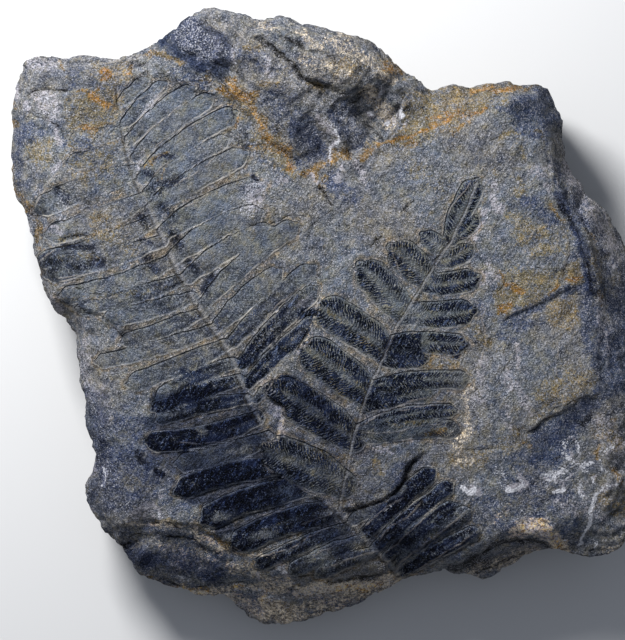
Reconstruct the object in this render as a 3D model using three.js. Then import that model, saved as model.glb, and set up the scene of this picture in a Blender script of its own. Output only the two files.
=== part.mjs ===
// A fossil fern slab: one broken block of dark slate lying on its back, with two pinnate fern leaves in low
// relief on its upper bedding face. Millimetres, +Z up, X to the right and Y to the top of the leaves, with
// the origin in the middle of the flat underside.

import * as THREE from 'three';
import { ImprovedNoise } from 'three/addons/math/ImprovedNoise.js';

// Driving dimensions, in mm
const SLAB_WIDTH = 190; // across X, which fixes the scale of every position below
const LEAFLET_CROWN = 0.5; // how far a leaflet swells above the bedding face
const LEAFLET_MARGIN = 0.25; // depth of the furrow round a leaflet
const MIDRIB_SINK = 0.15; // depth of the furrow along a leaflet's midrib
const STALK_CROWN = 0.5; // height of the two leaf stalks
// Bedding seen in the broken walls: how far down each line is and how far in it lies, as shares
const WALL_BEDS = [
  { down: 0.2, inset: 0.003 },
  { down: 0.27, inset: 0.018 },
  { down: 0.58, inset: 0.014 },
  { down: 0.65, inset: 0.034 },
  { down: 1, inset: 0.045 },
];
const ROUGH_FACE = 0.25; // roughness of the bedding face
const ROUGH_EDGE = 0.9; // roughness of the broken edges
const WALL_DENTS = 0.014; // dents in the walls, as a share of the distance from the middle
const EDGE_REACH = 14; // how far in from the outline the broken edge reaches

// Mesh spacing, in mm
const RIM_STEP = 3.4;
const OPEN_STEP = 4.6;
const LIP_STEP = 2.4;
const LEAST_GAP = 0.95;
const RIM_CLEARANCE = 1.9;
const CRACK_HALF_WIDTH = 0.5;

// Positions are [x, y] or [x, y, height]: x to the right and y down in picture pixels, height in mm.
// The outline of the slab, clockwise from its top left corner, with the height of its edge.
const OUTLINE = [
  [27, 57, 26], [40, 54, 27], [52, 55, 27], [62, 58, 28], [80, 54, 28], [100, 56, 29], [118, 57, 30],
  [137, 52, 31], [150, 45, 32], [156, 41, 32], [163, 33, 32], [176, 25, 33], [193, 13, 35], [208, 6, 35],
  [227, 8, 35], [249, 15, 36], [259, 19, 36], [272, 15, 37], [288, 14, 36], [300, 22, 36], [326, 28, 36],
  [343, 32, 36], [357, 35, 35], [369, 40, 34], [384, 49, 33], [390, 57, 32], [397, 64, 31], [404, 71, 30],
  [416, 75, 29], [422, 81, 28], [431, 87, 28], [451, 83, 28], [471, 86, 28], [490, 82, 28], [510, 80, 28],
  [514, 84, 28], [527, 84, 27], [542, 83, 25], [549, 88, 24], [556, 103, 24], [562, 112, 24],
  [565, 121, 24], [563, 138, 25], [568, 154, 24], [572, 168, 24], [587, 190, 25], [602, 204, 24],
  [610, 213, 24], [622, 235, 23], [631, 252, 23], [638, 280, 25], [643, 315, 25], [642, 350, 26],
  [645, 390, 28], [643, 430, 29], [641, 470, 29], [637, 505, 28], [630, 535, 27], [622, 548, 26],
  [610, 555, 25], [592, 559, 25], [573, 555, 25], [561, 551, 24], [548, 550, 18], [535, 554, 15],
  [521, 562, 14], [507, 570, 13], [493, 579, 13], [483, 582, 12], [473, 578, 13], [456, 577, 15],
  [446, 571, 18], [430, 577, 18], [408, 580, 16], [399, 584, 14], [388, 591, 15], [372, 599, 14],
  [357, 607, 14], [329, 616, 14], [299, 625, 14], [282, 627, 13], [263, 627, 12], [250, 621, 12],
  [238, 611, 10], [230, 601, 13], [218, 599, 14], [198, 598, 15], [180, 591, 17], [165, 587, 17],
  [150, 582, 18], [138, 576, 18], [131, 566, 19], [120, 549, 20], [112, 540, 20], [101, 532, 21],
  [97, 522, 21], [90, 511, 22], [84, 498, 22], [83, 485, 22], [90, 474, 23], [93, 460, 24], [90, 440, 24],
  [84, 424, 24], [82, 396, 24], [78, 380, 24], [76, 355, 24], [74, 336, 24], [69, 326, 24], [62, 317, 25],
  [53, 313, 25], [48, 300, 25], [42, 288, 25], [37, 268, 25], [33, 253, 25], [28, 228, 25], [26, 216, 24],
  [20, 205, 23], [15, 198, 22], [11, 185, 22], [9, 160, 22], [11, 135, 22], [10, 112, 23], [13, 90, 24],
  [18, 76, 25], [21, 64, 25],
];

// Heights of the face inside the outline. Flat facets run from one to the next, as on broken slate.
const FACE_HEIGHTS = [
  // left margin
  [35, 75, 31], [60, 75, 33], [90, 75, 34], [120, 76, 34.5], [22, 98, 28], [38, 97, 31], [60, 104, 34.5],
  [45, 122, 31.5], [62, 124, 34.5], [25, 118, 28.5], [20, 150, 27], [40, 150, 31], [62, 150, 34],
  [25, 180, 27], [45, 180, 31.5], [70, 170, 35], [32, 205, 28], [52, 210, 33], [45, 235, 31], [40, 262, 30],
  [62, 240, 34.5], [55, 280, 32.5], [52, 298, 30], [70, 300, 33], [85, 325, 31.5], [83, 342, 29],
  [110, 325, 34.3], [88, 365, 29], [105, 365, 33], [92, 400, 28], [110, 400, 33], [99, 440, 30],
  [118, 440, 33], [95, 485, 27], [115, 490, 32.5], [110, 518, 27], [130, 512, 32],
  // bed of the large leaf
  [100, 120, 35], [130, 90, 35.3], [160, 72, 36], [130, 160, 35], [100, 200, 35], [150, 250, 35],
  [100, 280, 35], [150, 330, 35], [130, 380, 34.5], [200, 180, 35.8], [200, 280, 35.3], [250, 230, 36],
  [240, 130, 36.3], [230, 102, 36.5], [200, 92, 36.5], [250, 320, 35.3], [200, 400, 34.5], [150, 450, 34],
  [200, 480, 34], [160, 500, 33.2], [170, 518, 31.5], [260, 480, 34], [210, 520, 32.5], [290, 520, 33],
  [240, 540, 30.5], [300, 550, 31], [350, 555, 30.5], [260, 558, 29], [300, 571, 27.5], [345, 573, 27.5],
  [385, 571, 27], [400, 530, 33], [440, 520, 33], [460, 550, 29], [430, 560, 28.5],
  // broken lower edge, on the left
  [118, 540, 24], [140, 530, 26], [150, 546, 26.5], [136, 560, 23.5], [180, 545, 26.8], [200, 545, 27.5],
  [218, 560, 26.5], [172, 570, 23.5], [205, 582, 21.5], [232, 570, 25], [240, 592, 17], [262, 583, 21.5],
  [300, 590, 20.5], [345, 588, 20.5], [382, 583, 19], [270, 610, 16], [320, 605, 17],
  // bed of the small leaf
  [350, 250, 36], [320, 262, 35.5], [400, 200, 36.3], [450, 230, 36.5], [400, 280, 36.3], [350, 340, 36],
  [400, 400, 36], [350, 450, 35.5], [400, 480, 35.5], [450, 400, 36], [440, 350, 36.2], [300, 420, 35.5],
  [320, 480, 34.8], [480, 500, 34.5], [300, 200, 37], [280, 187, 37.5], [252, 200, 36.3], [262, 181, 37.6],
  [320, 200, 36.5], [332, 216, 35.5],
  // mass at the top
  [160, 54, 34], [182, 52, 36], [205, 64, 38.4], [185, 70, 36.2], [205, 80, 36.6], [225, 70, 39],
  [240, 60, 42.3], [262, 56, 43], [280, 70, 42.8], [265, 79, 42], [240, 76, 40.4], [225, 14, 38.4],
  [240, 22, 40.4], [252, 34, 42.4], [246, 43, 42.6], [262, 90, 41.4], [290, 92, 41.8], [262, 106, 38.6],
  [285, 112, 39.8], [252, 104, 37.4], [262, 125, 37], [275, 145, 36.6], [290, 160, 36], [300, 110, 40.6],
  [294, 138, 37.6], [306, 158, 35], [322, 165, 34], [312, 135, 36.6], [282, 28, 42], [300, 36, 43],
  [330, 46, 43.2], [360, 62, 42], [385, 76, 39], [312, 66, 43.6], [345, 78, 42.8], [372, 86, 39],
  [392, 84, 36.5],
  // niche beside the mass
  [356, 100, 37.4], [361, 114, 33.6], [372, 124, 31.4], [386, 130, 31.6], [378, 106, 33.8],
  [392, 104, 34.4], [388, 118, 32.4], [404, 94, 34.4], [360, 128, 35.6], [356, 142, 35.4], [368, 141, 34.6],
  [378, 148, 35.6], [340, 182, 36], [352, 166, 36], [332, 172, 34.6], [380, 165, 36.3], [400, 150, 36.3],
  // top right corner
  [446, 128, 37], [495, 108, 37], [520, 98, 35.5], [430, 112, 33.5], [470, 100, 32.5], [505, 92, 32],
  [430, 155, 37], [470, 140, 37], [505, 130, 37], [480, 182, 37], [535, 100, 32.5], [545, 120, 31.5],
  [535, 150, 36.5], [552, 150, 32], [556, 178, 33.5], [548, 195, 37], [575, 215, 34], [590, 245, 35.5],
  [596, 300, 35.5], [592, 350, 36.5], [600, 400, 35.5], [572, 395, 37.5],
  // right-hand slab and its slope
  [520, 220, 38], [540, 265, 38], [500, 280, 37.5], [510, 330, 36.5], [560, 320, 36.8], [520, 380, 38],
  [490, 350, 36.8], [500, 430, 37.5], [470, 440, 36.3], [540, 440, 35], [580, 430, 34.5], [560, 470, 33.5],
  [520, 480, 35], [600, 470, 33], [560, 520, 32.5], [510, 530, 32], [600, 520, 30.5], [585, 545, 26],
  [548, 537, 29.5], [500, 556, 19], [530, 548, 19], [480, 572, 16], [510, 562, 16.5], [468, 566, 18.5],
  [612, 300, 31.5], [608, 250, 31], [592, 210, 31], [616, 360, 32.5], [622, 420, 33.5], [620, 480, 32.5],
  [574, 188, 31],
  // edge over the lower bed, on the right
  [460, 560, 27.5], [478, 550, 28.5], [494, 541, 29.5], [512, 536, 30], [530, 534, 30],
  // crests and the feet of steps in the mass at the top
  [196, 15, 36.8], [206, 22, 39.8], [216, 38, 42.3], [223, 57, 42.4], [212, 19, 38.4], [224, 32, 40.4],
  [236, 46, 41.4], [258, 35, 42.6], [270, 44, 43.4], [284, 55, 43.8], [297, 67, 43.9], [304, 76, 43.7],
  [318, 80, 43.4], [334, 86, 42.9], [352, 88, 41.6], [257, 40, 41.6], [267, 49, 41.8], [281, 60, 42],
  [294, 71, 42], [302, 80, 41.8], [315, 85, 41.4], [332, 90, 41], [326, 114, 40], [335, 128, 39.6],
  [342, 142, 38], [345, 154, 36.2], [318, 122, 38], [326, 136, 36.2], [332, 150, 34.8], [334, 102, 39.6],
  [345, 118, 37.2], [352, 134, 35.8], [352, 150, 35], [409, 90, 34.6], [402, 106, 35.8], [400, 126, 35.6],
  [392, 139, 35.8], [378, 152, 36], [398, 108, 32.6], [395, 124, 32], [386, 136, 32.2],
];

// Where one bed of slate stops and the next shows: the raised side is on the left hand, walking along the
// line. reach is how far back from the edge the step fades out.
const LEDGES = [
  { line: [[322, 284], [318, 310], [312, 328], [300, 350], [285, 358], [272, 367], [262, 382], [270, 398],
    [285, 408], [280, 425], [274, 440], [262, 443], [262, 462], [277, 473], [300, 488], [318, 498],
    [340, 514]], step: 0.6, reach: 14 },
  { line: [[428, 190], [405, 212], [385, 232], [372, 247], [355, 254], [335, 262], [320, 286]],
    step: 0.4, reach: 8 },
  { line: [[338, 515], [355, 508], [370, 504], [385, 500], [398, 490], [404, 478], [406, 468], [414, 458],
    [430, 450]], step: 0.9, reach: 9 },
  { line: [[488, 296], [483, 320], [487, 345], [481, 362], [470, 385], [466, 400], [466, 414], [470, 424],
    [463, 438], [462, 450], [454, 466]], step: 0.7, reach: 16 },
  { line: [[562, 284], [563, 272], [569, 252], [567, 236], [560, 228], [548, 222]], step: 0.6, reach: 8 },
  { line: [[499, 322], [514, 313], [530, 306], [548, 299], [562, 290], [584, 283]], step: 0.7, reach: 10 },
  { line: [[526, 434], [545, 419], [560, 412], [576, 401], [586, 396], [603, 395]], step: 0.8, reach: 12 },
  { line: [[148, 62], [168, 76], [180, 87], [205, 92], [232, 100], [250, 115], [262, 135], [285, 150],
    [304, 168]], step: 0.8, reach: 8 },
  { line: [[252, 30], [270, 45], [284, 56], [296, 67], [303, 79], [314, 85], [336, 88]],
    step: 0.5, reach: 10 },
  { line: [[604, 300], [597, 270], [590, 240], [580, 217], [566, 200], [553, 162]], step: 1.6, reach: 6 },
  { line: [[106, 160], [75, 165], [58, 170], [44, 190], [28, 215]], step: 0.9, reach: 6 },
  { line: [[60, 243], [66, 238], [80, 235], [100, 236]], step: 0.6, reach: 5 },
  { line: [[72, 299], [82, 309], [102, 314], [112, 324], [122, 336], [134, 352]], step: 0.6, reach: 5 },
  { line: [[104, 534], [118, 526], [130, 522], [150, 521], [175, 523], [200, 529], [225, 540],
    [246, 555]], step: 0.9, reach: 5 },
  { line: [[222, 566], [250, 577], [286, 578], [315, 578], [345, 577], [376, 574], [400, 580]],
    step: 1.5, reach: 4 },
  { line: [[452, 572], [464, 567], [480, 555], [495, 546], [512, 541], [530, 539], [543, 542], [552, 549],
    [566, 557]], step: 2, reach: 10 },
  { line: [[118, 547], [128, 541], [140, 535], [152, 532], [175, 534], [190, 539], [205, 549], [218, 557],
    [228, 563]], step: 0.9, reach: 6 },
];

// Open cracks and the clefts between beds.
const CRACKS = [
  { line: [[369, 248], [376, 242], [382, 236]], depth: 0.7, width: 0.6 },
  { line: [[402, 213], [409, 205], [415, 198]], depth: 0.6, width: 0.6 },
  { line: [[318, 186], [326, 197], [334, 208]], depth: 1, width: 0.7 },
  { line: [[416, 456], [404, 480], [397, 492], [384, 500], [364, 507], [346, 513]],
    depth: 0.8, width: 0.7 },
  { line: [[256, 33], [270, 45], [284, 56], [296, 67], [303, 79], [314, 85], [336, 88]],
    depth: 1.3, width: 0.6 },
  { line: [[279, 36], [292, 43], [306, 49]], depth: 0.7, width: 0.7 },
  { line: [[350, 104], [359, 101], [363, 91]], depth: 0.7, width: 0.5 },
  { line: [[407, 89], [400, 104], [398, 118], [393, 133], [379, 144]], depth: 0.6, width: 0.45 },
  { line: [[60, 243], [66, 238], [72, 236], [82, 235], [100, 236]], depth: 0.6, width: 0.45 },
  { line: [[120, 547], [128, 544], [137, 541]], depth: 0.6, width: 0.5 },
  { line: [[158, 538], [183, 537], [195, 541], [206, 550], [216, 553], [226, 559]],
    depth: 0.7, width: 0.5 },
  { line: [[150, 582], [160, 581], [170, 583], [180, 588], [200, 588], [218, 585], [228, 585], [242, 583],
    [258, 586]], depth: 0.7, width: 0.5 },
  { line: [[294, 579], [305, 576], [317, 577]], depth: 0.7, width: 0.5 },
  { line: [[326, 582], [350, 580], [368, 577], [384, 575]], depth: 1, width: 0.8 },
  { line: [[458, 570], [466, 565], [480, 555], [495, 547], [512, 542], [530, 540], [543, 543],
    [550, 549]], depth: 0.7, width: 0.5 },
  { line: [[480, 573], [494, 568], [508, 560], [522, 554], [534, 552]], depth: 0.8, width: 0.5 },
];

// The two leaves. Each stalk runs from the tip of its leaf to the base, and each leaflet is
// [base x, base y, tip x, tip y, bow, half-width]: bow bends it to the left hand, walking from base to tip.
const LARGE_LEAF = {
  stalk: [[119, 90], [123, 120], [128, 150], [137, 180], [149, 207], [163, 236], [173, 258], [182, 276],
    [190, 291], [200, 307], [212, 325], [224, 342], [232, 356], [238, 373], [246, 393], [256, 414],
    [272, 438], [292, 464], [318, 492], [341, 514], [357, 528], [370, 545], [384, 558], [399, 575]],
  stalkHalfWidth: 3.2,
  leaflets: [
    [121, 103, 148, 79, 1, 7], [125, 124, 166, 83, 2, 7.5], [130, 140, 194, 88, 3, 8.5],
    [136, 156, 212, 97, 3, 9], [142, 177, 236, 112, 5, 10.5], [147, 192, 228, 139, 4, 8],
    [152, 207, 246, 154, 3, 11.5], [166, 231, 263, 186, 5, 12.5], [176, 256, 262, 212, 6, 11.5],
    [188, 277, 272, 229, 5, 10.5], [204, 303, 296, 224, 4, 10], [220, 324, 281, 271, 2, 11],
    [234, 341, 314, 267, 3, 9.5], [242, 364, 318, 288, 3, 9.5], [248, 384, 318, 318, 2, 9],
    [256, 400, 297, 354, 1, 6], [124, 130, 70, 141, 1, 8], [128, 150, 68, 162, 1, 9],
    [135, 172, 36, 210, -3, 12], [146, 198, 46, 236, 3, 11], [155, 220, 38, 261, 5, 9.5],
    [163, 240, 46, 276, 2, 9], [172, 260, 60, 296, 6, 10], [182, 279, 76, 309, 3, 8.5],
    [193, 297, 104, 319, 2, 9], [203, 312, 122, 342, 2, 8.5], [214, 329, 96, 362, 3, 8],
    [225, 345, 128, 384, 2, 10], [233, 363, 156, 399, -3, 8.5], [240, 380, 152, 410, -2, 8.5],
    [248, 399, 156, 420, -3, 7.5], [257, 418, 146, 441, 7, 11], [268, 438, 176, 464, 3, 10],
    [284, 466, 176, 491, -5, 11.5], [308, 488, 202, 521, -6, 13], [338, 511, 232, 547, -6, 13.5],
    [346, 528, 256, 567, -2, 8], [358, 541, 290, 573, -2, 8.5], [374, 552, 316, 577, -2, 7.5],
    [354, 520, 412, 488, 3, 9], [366, 534, 434, 470, 2, 9.5], [376, 548, 452, 484, 2, 8.5],
    [387, 557, 456, 504, 2, 7.5], [393, 566, 470, 510, 3, 8.5], [401, 575, 480, 530, 2, 8],
  ],
};
const SMALL_LEAF = {
  stalk: [[477, 184], [470, 203], [463, 219], [456, 232], [450, 244], [443, 254], [436, 265], [428, 278],
    [420, 291], [411, 305], [401, 321], [394, 333], [390, 344], [384, 358], [378, 371], [372, 384],
    [367, 397], [363, 409], [359, 424], [354, 437], [351, 452], [349, 466], [346, 480], [342, 500],
    [340, 513]],
  stalkHalfWidth: 2.2,
  leaflets: [
    [451, 238, 477, 181, 2, 12], [455, 238, 477, 217, -2, 7.5], [445, 250, 422, 234, 0, 10],
    [428, 281, 391, 247, -2, 17], [404, 314, 360, 265, -2, 17], [387, 352, 317, 306, -3, 18.5],
    [367, 394, 302, 346, -2, 20], [352, 439, 269, 388, -3, 20], [342, 484, 259, 450, -3, 21],
    [441, 262, 472, 247, -2, 9.5], [428, 285, 478, 277, -2, 12], [406, 314, 474, 311, -2, 13.5],
    [392, 342, 466, 345, 1, 11], [384, 360, 426, 358, 0, 10.5], [376, 386, 468, 380, 3, 9.5],
    [368, 406, 432, 392, 2, 9], [361, 428, 456, 411, 5, 8], [357, 440, 458, 430, 5, 9.5],
  ],
};

// The small leaf lies on a bed of its own, which covers the large leaf here.
const UPPER_BED = [
  [322, 284], [318, 310], [312, 328], [300, 350], [285, 358], [272, 367], [262, 382], [270, 398],
  [285, 408], [280, 425], [274, 440], [262, 443], [262, 462], [277, 473], [300, 488], [318, 498],
  [340, 514], [355, 508], [370, 504], [385, 500], [398, 490], [404, 478], [406, 468], [414, 458],
  [470, 440], [484, 300], [495, 165], [440, 165], [428, 190], [372, 247], [335, 262],
];

const pixelsWide = Math.max(...OUTLINE.map((p) => p[0])) - Math.min(...OUTLINE.map((p) => p[0]));
const scale = SLAB_WIDTH / pixelsWide;
const centre = new THREE.Box2().setFromPoints(OUTLINE.map(([x, y]) => new THREE.Vector2(x, y)))
  .getCenter(new THREE.Vector2());

// A picture position in the part's own millimetres.
function place([x, y]) {
  return new THREE.Vector2((x - centre.x) * scale, (centre.y - y) * scale);
}

// Delaunay's triangulation by Bowyer and Watson's method, as [a, b, c] counter-clockwise.
function triangulate(points) {
  const far = 1e4;
  const around = [[-far, -far], [far, -far], [0, far]].map(([x, y]) => new THREE.Vector2(x, y));
  const all = [...points, ...around];
  const circled = (a, b, c) => {
    const [p, q, r] = [all[a], all[b], all[c]];
    const twiceArea = 2 * ((q.x - p.x) * (r.y - p.y) - (q.y - p.y) * (r.x - p.x));
    const [pq, pr] = [q.lengthSq() - p.lengthSq(), r.lengthSq() - p.lengthSq()];
    const x = (pq * (r.y - p.y) - pr * (q.y - p.y)) / twiceArea;
    const y = (pr * (q.x - p.x) - pq * (r.x - p.x)) / twiceArea;
    return { corners: [a, b, c], x, y, reach: (p.x - x) ** 2 + (p.y - y) ** 2 };
  };
  const n = points.length;
  let faces = [circled(n, n + 1, n + 2)];
  points.forEach((point, i) => {
    const hit = (f) => (point.x - f.x) ** 2 + (point.y - f.y) ** 2 < f.reach;
    const edges = new Map();
    for (const { corners: [a, b, c] } of faces.filter(hit)) {
      for (const [from, to] of [[a, b], [b, c], [c, a]]) {
        if (!edges.delete(`${to} ${from}`)) edges.set(`${from} ${to}`, [from, to]);
      }
    }
    faces = faces.filter((f) => !hit(f));
    for (const [from, to] of edges.values()) faces.push(circled(from, to, i));
  });
  return faces.map((f) => f.corners).filter((corners) => corners.every((corner) => corner < n));
}

function insideOutline(point, outline) {
  let inside = false;
  outline.forEach((a, i) => {
    const b = outline[(i + 1) % outline.length];
    const crosses = a.y > point.y !== b.y > point.y;
    if (crosses && point.x < a.x + ((b.x - a.x) * (point.y - a.y)) / (b.y - a.y)) inside = !inside;
  });
  return inside;
}

// The nearest place on a line of points: its distance, its share of the way along, and the side it is on.
function nearestOn(line, point) {
  let best = { distance: Infinity };
  let walked = 0;
  for (let i = 1; i < line.length; i++) {
    const along = line[i].clone().sub(line[i - 1]);
    const offset = point.clone().sub(line[i - 1]);
    const share = THREE.MathUtils.clamp(offset.dot(along) / along.lengthSq(), 0, 1);
    const distance = offset.clone().addScaledVector(along, -share).length();
    const length = along.length();
    if (distance < best.distance) {
      best = { distance, at: walked + share * length, left: along.cross(offset) > 0 };
    }
    walked += length;
  }
  return { ...best, share: best.at / walked };
}

// A line of points with its long sides divided.
function divided(line, step) {
  return line.slice(1).reduce((points, end) => {
    const start = points.at(-1);
    const parts = Math.ceil(start.distanceTo(end) / step);
    for (let k = 1; k <= parts; k++) points.push(start.clone().lerp(end, k / parts));
    return points;
  }, [line[0]]);
}

// Ledges and cracks run out over the first and last tenth of their length.
const runOut = (share) => THREE.MathUtils.smoothstep(Math.min(share, 1 - share), 0, 0.1);

const outline = OUTLINE.map(place);
const heightPoints = [...outline, ...FACE_HEIGHTS.map(place)];
const heights = [...OUTLINE, ...FACE_HEIGHTS].map((p) => p[2]);
const facets = triangulate(heightPoints);
const upperBed = UPPER_BED.map(place);
const ledges = LEDGES.map((ledge) => ({ ...ledge, line: ledge.line.map(place) }));
const cracks = CRACKS.map((crack) => ({ ...crack, line: crack.line.map(place) }));

// Height of the flat facet that covers a point.
function facetHeight(point) {
  let best = { lowest: -Infinity };
  for (const [a, b, c] of facets) {
    const [p, q, r] = [heightPoints[a], heightPoints[b], heightPoints[c]];
    const area = (q.x - p.x) * (r.y - p.y) - (q.y - p.y) * (r.x - p.x);
    const v = ((point.x - p.x) * (r.y - p.y) - (point.y - p.y) * (r.x - p.x)) / area;
    const w = ((q.x - p.x) * (point.y - p.y) - (q.y - p.y) * (point.x - p.x)) / area;
    const u = 1 - v - w;
    const lowest = Math.min(u, v, w);
    if (lowest > best.lowest) best = { lowest, height: u * heights[a] + v * heights[b] + w * heights[c] };
  }
  return best.height;
}

// A leaflet as a curve with a half-width that swells from the base and ends in a round tip.
function leaflet([baseX, baseY, tipX, tipY, bow, halfWidth]) {
  const [base, tip] = [place([baseX, baseY]), place([tipX, tipY])];
  const along = tip.clone().sub(base);
  const side = new THREE.Vector2(-along.y, along.x).normalize();
  const middle = base.clone().lerp(tip, 0.5).addScaledVector(side, 2 * bow * scale);
  const curve = new THREE.QuadraticBezierCurve(base, middle, tip);
  const width = halfWidth * scale;
  const roundFrom = 1 - width / along.length();
  const widthAt = (t) => {
    const swell = THREE.MathUtils.lerp(0.72, 1, THREE.MathUtils.smoothstep(t, 0, 0.3));
    const round = t > roundFrom ? Math.sqrt(Math.max(0, 1 - ((t - roundFrom) / (1 - roundFrom)) ** 2)) : 1;
    return width * swell * round;
  };
  return { curve, width, widthAt, line: curve.getPoints(12) };
}

const leaves = [LARGE_LEAF, SMALL_LEAF].map((leaf) => ({
  stalk: leaf.stalk.map(place),
  stalkWidth: leaf.stalkHalfWidth * scale,
  leaflets: leaf.leaflets.map(leaflet),
}));

// The leaf that shows at a point: 1 for the small one on its own bed, and 0 for the large one elsewhere.
const leafAt = (point) => (insideOutline(point, upperBed) ? 1 : 0);

// Relief of the leaf at a point: the leaflet it is deepest inside, and the stalk over that.
function leafRelief(point) {
  const { stalk, stalkWidth, leaflets } = leaves[leafAt(point)];
  let relief = 0;
  let deepest = -0.35;
  for (const { line, widthAt, width } of leaflets) {
    const near = nearestOn(line, point);
    if (near.distance > 1.4 * width) continue;
    const across = near.distance / Math.max(widthAt(near.share), 0.3 * width);
    if (1 - across < deepest) continue;
    deepest = 1 - across;
    const crown = LEAFLET_CROWN * Math.max(0, 1 - across ** 3);
    const midrib = MIDRIB_SINK * Math.exp(-((across / 0.16) ** 2)) * (1 - near.share ** 4);
    const margin = LEAFLET_MARGIN * Math.exp(-(((across - 1.05) / 0.18) ** 2));
    relief = crown - midrib - margin;
  }
  const { distance } = nearestOn(stalk, point);
  if (distance < stalkWidth) relief = STALK_CROWN * Math.sqrt(1 - (distance / stalkWidth) ** 2);
  return relief;
}

const noise = new ImprovedNoise();
function roughness(point, amplitude) {
  const octaves = [[26, 1], [11, 0.6], [5, 0.35]];
  return octaves.reduce((sum, [size, share]) =>
    sum + amplitude * share * noise.noise(point.x / size + 7, point.y / size + 3, size), 0);
}

const rimDistance = (point) => nearestOn([...outline, outline[0]], point).distance;

function surfaceHeight(point) {
  let height = facetHeight(point) + leafRelief(point);
  for (const { line, step, reach } of ledges) {
    const near = nearestOn(line, point);
    if (near.left) height += step * runOut(near.share) * Math.exp(-near.distance / reach);
  }
  for (const { line, depth, width } of cracks) {
    const near = nearestOn(line, point);
    height -= depth * runOut(near.share) * Math.exp(-((near.distance / width) ** 2));
  }
  const broken = 1 - THREE.MathUtils.smoothstep(rimDistance(point), 0, EDGE_REACH);
  return height + roughness(point, THREE.MathUtils.lerp(ROUGH_FACE, ROUGH_EDGE, broken));
}

// The rim: the outline with long sides divided.
function rimPoints() {
  const rim = [];
  outline.forEach((corner, i) => {
    const next = (i + 1) % outline.length;
    const parts = Math.ceil(corner.distanceTo(outline[next]) / RIM_STEP);
    for (let k = 0; k < parts; k++) {
      const point = corner.clone().lerp(outline[next], k / parts);
      const edge = THREE.MathUtils.lerp(OUTLINE[i][2], OUTLINE[next][2], k / parts);
      rim.push({ point, height: edge + roughness(point, ROUGH_EDGE) });
    }
  });
  return rim;
}

// Points on both lips of a crack or ledge.
function lipPoints(feature) {
  const line = divided(feature.line, LIP_STEP);
  return line.flatMap((point, i) => {
    const [before, after] = [line[Math.max(i - 1, 0)], line[Math.min(i + 1, line.length - 1)]];
    const across = new THREE.Vector2(before.y - after.y, after.x - before.x).normalize();
    return [-1, 1].map((side) => point.clone().addScaledVector(across, side * CRACK_HALF_WIDTH));
  });
}

// Points along a leaflet's midrib, its shoulders and its margins.
function leafletPoints({ curve, widthAt }) {
  const points = [];
  for (const t of [0.06, 0.24, 0.42, 0.6, 0.78, 0.92]) {
    const along = curve.getTangent(t);
    const across = new THREE.Vector2(-along.y, along.x);
    for (const offset of [0, -0.6, 0.6, -1.05, 1.05]) {
      points.push(curve.getPoint(t).addScaledVector(across, offset * widthAt(t)));
    }
  }
  return [...points, curve.getPoint(1)];
}

// Every point of the face, feature lines first, then a staggered field of open points between them.
function facePoints(rim) {
  const box = new THREE.Box2().setFromPoints(outline);
  const kept = rim.map(({ point }) => point);
  const add = (point, gap) => {
    if (!insideOutline(point, outline) || rimDistance(point) < RIM_CLEARANCE) return;
    if (kept.every((other) => other.distanceTo(point) >= gap)) kept.push(point);
  };
  const addLeaf = (leaf, points) => {
    points.filter((point) => leafAt(point) === leaf).forEach((point) => add(point, LEAST_GAP));
  };
  leaves.forEach(({ stalk }, leaf) => addLeaf(leaf, new THREE.SplineCurve(stalk).getSpacedPoints(50)));
  for (const feature of [...ledges, ...cracks]) lipPoints(feature).forEach((p) => add(p, LEAST_GAP));
  leaves.forEach(({ leaflets }, leaf) => addLeaf(leaf, leaflets.flatMap(leafletPoints)));
  FACE_HEIGHTS.map(place).forEach((p) => add(p, LEAST_GAP * 1.5));
  for (let row = 0; box.min.y + row * OPEN_STEP * 0.87 < box.max.y; row++) {
    for (let x = box.min.x + (row % 2) * OPEN_STEP * 0.5; x < box.max.x; x += OPEN_STEP) {
      const stagger = noise.noise(x / 3, row * 1.7, 5) * OPEN_STEP * 0.5;
      add(new THREE.Vector2(x + stagger, box.min.y + row * OPEN_STEP * 0.87 - stagger), OPEN_STEP * 0.62);
    }
  }
  return kept;
}

// The slab: the face, walls that step in down to the underside, and the flat underside it lies on.
function slabGeometry() {
  const rim = rimPoints();
  const face = facePoints(rim);
  const positions = face.map((point, i) => {
    return [point.x, point.y, i < rim.length ? rim[i].height : surfaceHeight(point)];
  });
  const middle = ([a, b, c]) => face[a].clone().add(face[b]).add(face[c]).divideScalar(3);
  const indices = triangulate(face).filter((corners) => insideOutline(middle(corners), outline));

  const rings = [rim.map((_, i) => i)];
  for (const { down, inset } of WALL_BEDS) {
    rings.push(rim.map(({ point, height }) => {
      const dent = WALL_DENTS * Math.abs(noise.noise(point.x / 9, point.y / 9, 40 * down));
      const share = 1 - inset - dent;
      positions.push([point.x * share, point.y * share, height * (1 - down)]);
      return positions.length - 1;
    }));
  }
  for (let k = 1; k < rings.length; k++) {
    rim.forEach((_, i) => {
      const j = (i + 1) % rim.length;
      const [a, b, c, d] = [rings[k - 1][i], rings[k - 1][j], rings[k][j], rings[k][i]];
      indices.push([a, b, c], [a, c, d]);
    });
  }
  const foot = rings.at(-1);
  const footPoints = foot.map((i) => new THREE.Vector2(positions[i][0], positions[i][1]));
  for (const [a, b, c] of THREE.ShapeUtils.triangulateShape(footPoints, [])) {
    indices.push([foot[a], foot[c], foot[b]]);
  }

  const geometry = new THREE.BufferGeometry();
  geometry.setAttribute('position', new THREE.Float32BufferAttribute(positions.flat(), 3));
  geometry.setIndex(indices.flat());
  geometry.computeVertexNormals();
  return geometry;
}

const slate = new THREE.MeshStandardMaterial({
  color: '#62666d',
  roughness: 0.62,
  metalness: 0,
  flatShading: true,
});
const slab = new THREE.Mesh(slabGeometry(), slate);
slab.name = 'fossil_slab';

const fossil = new THREE.Group();
fossil.add(slab);

export default fossil;
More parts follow.
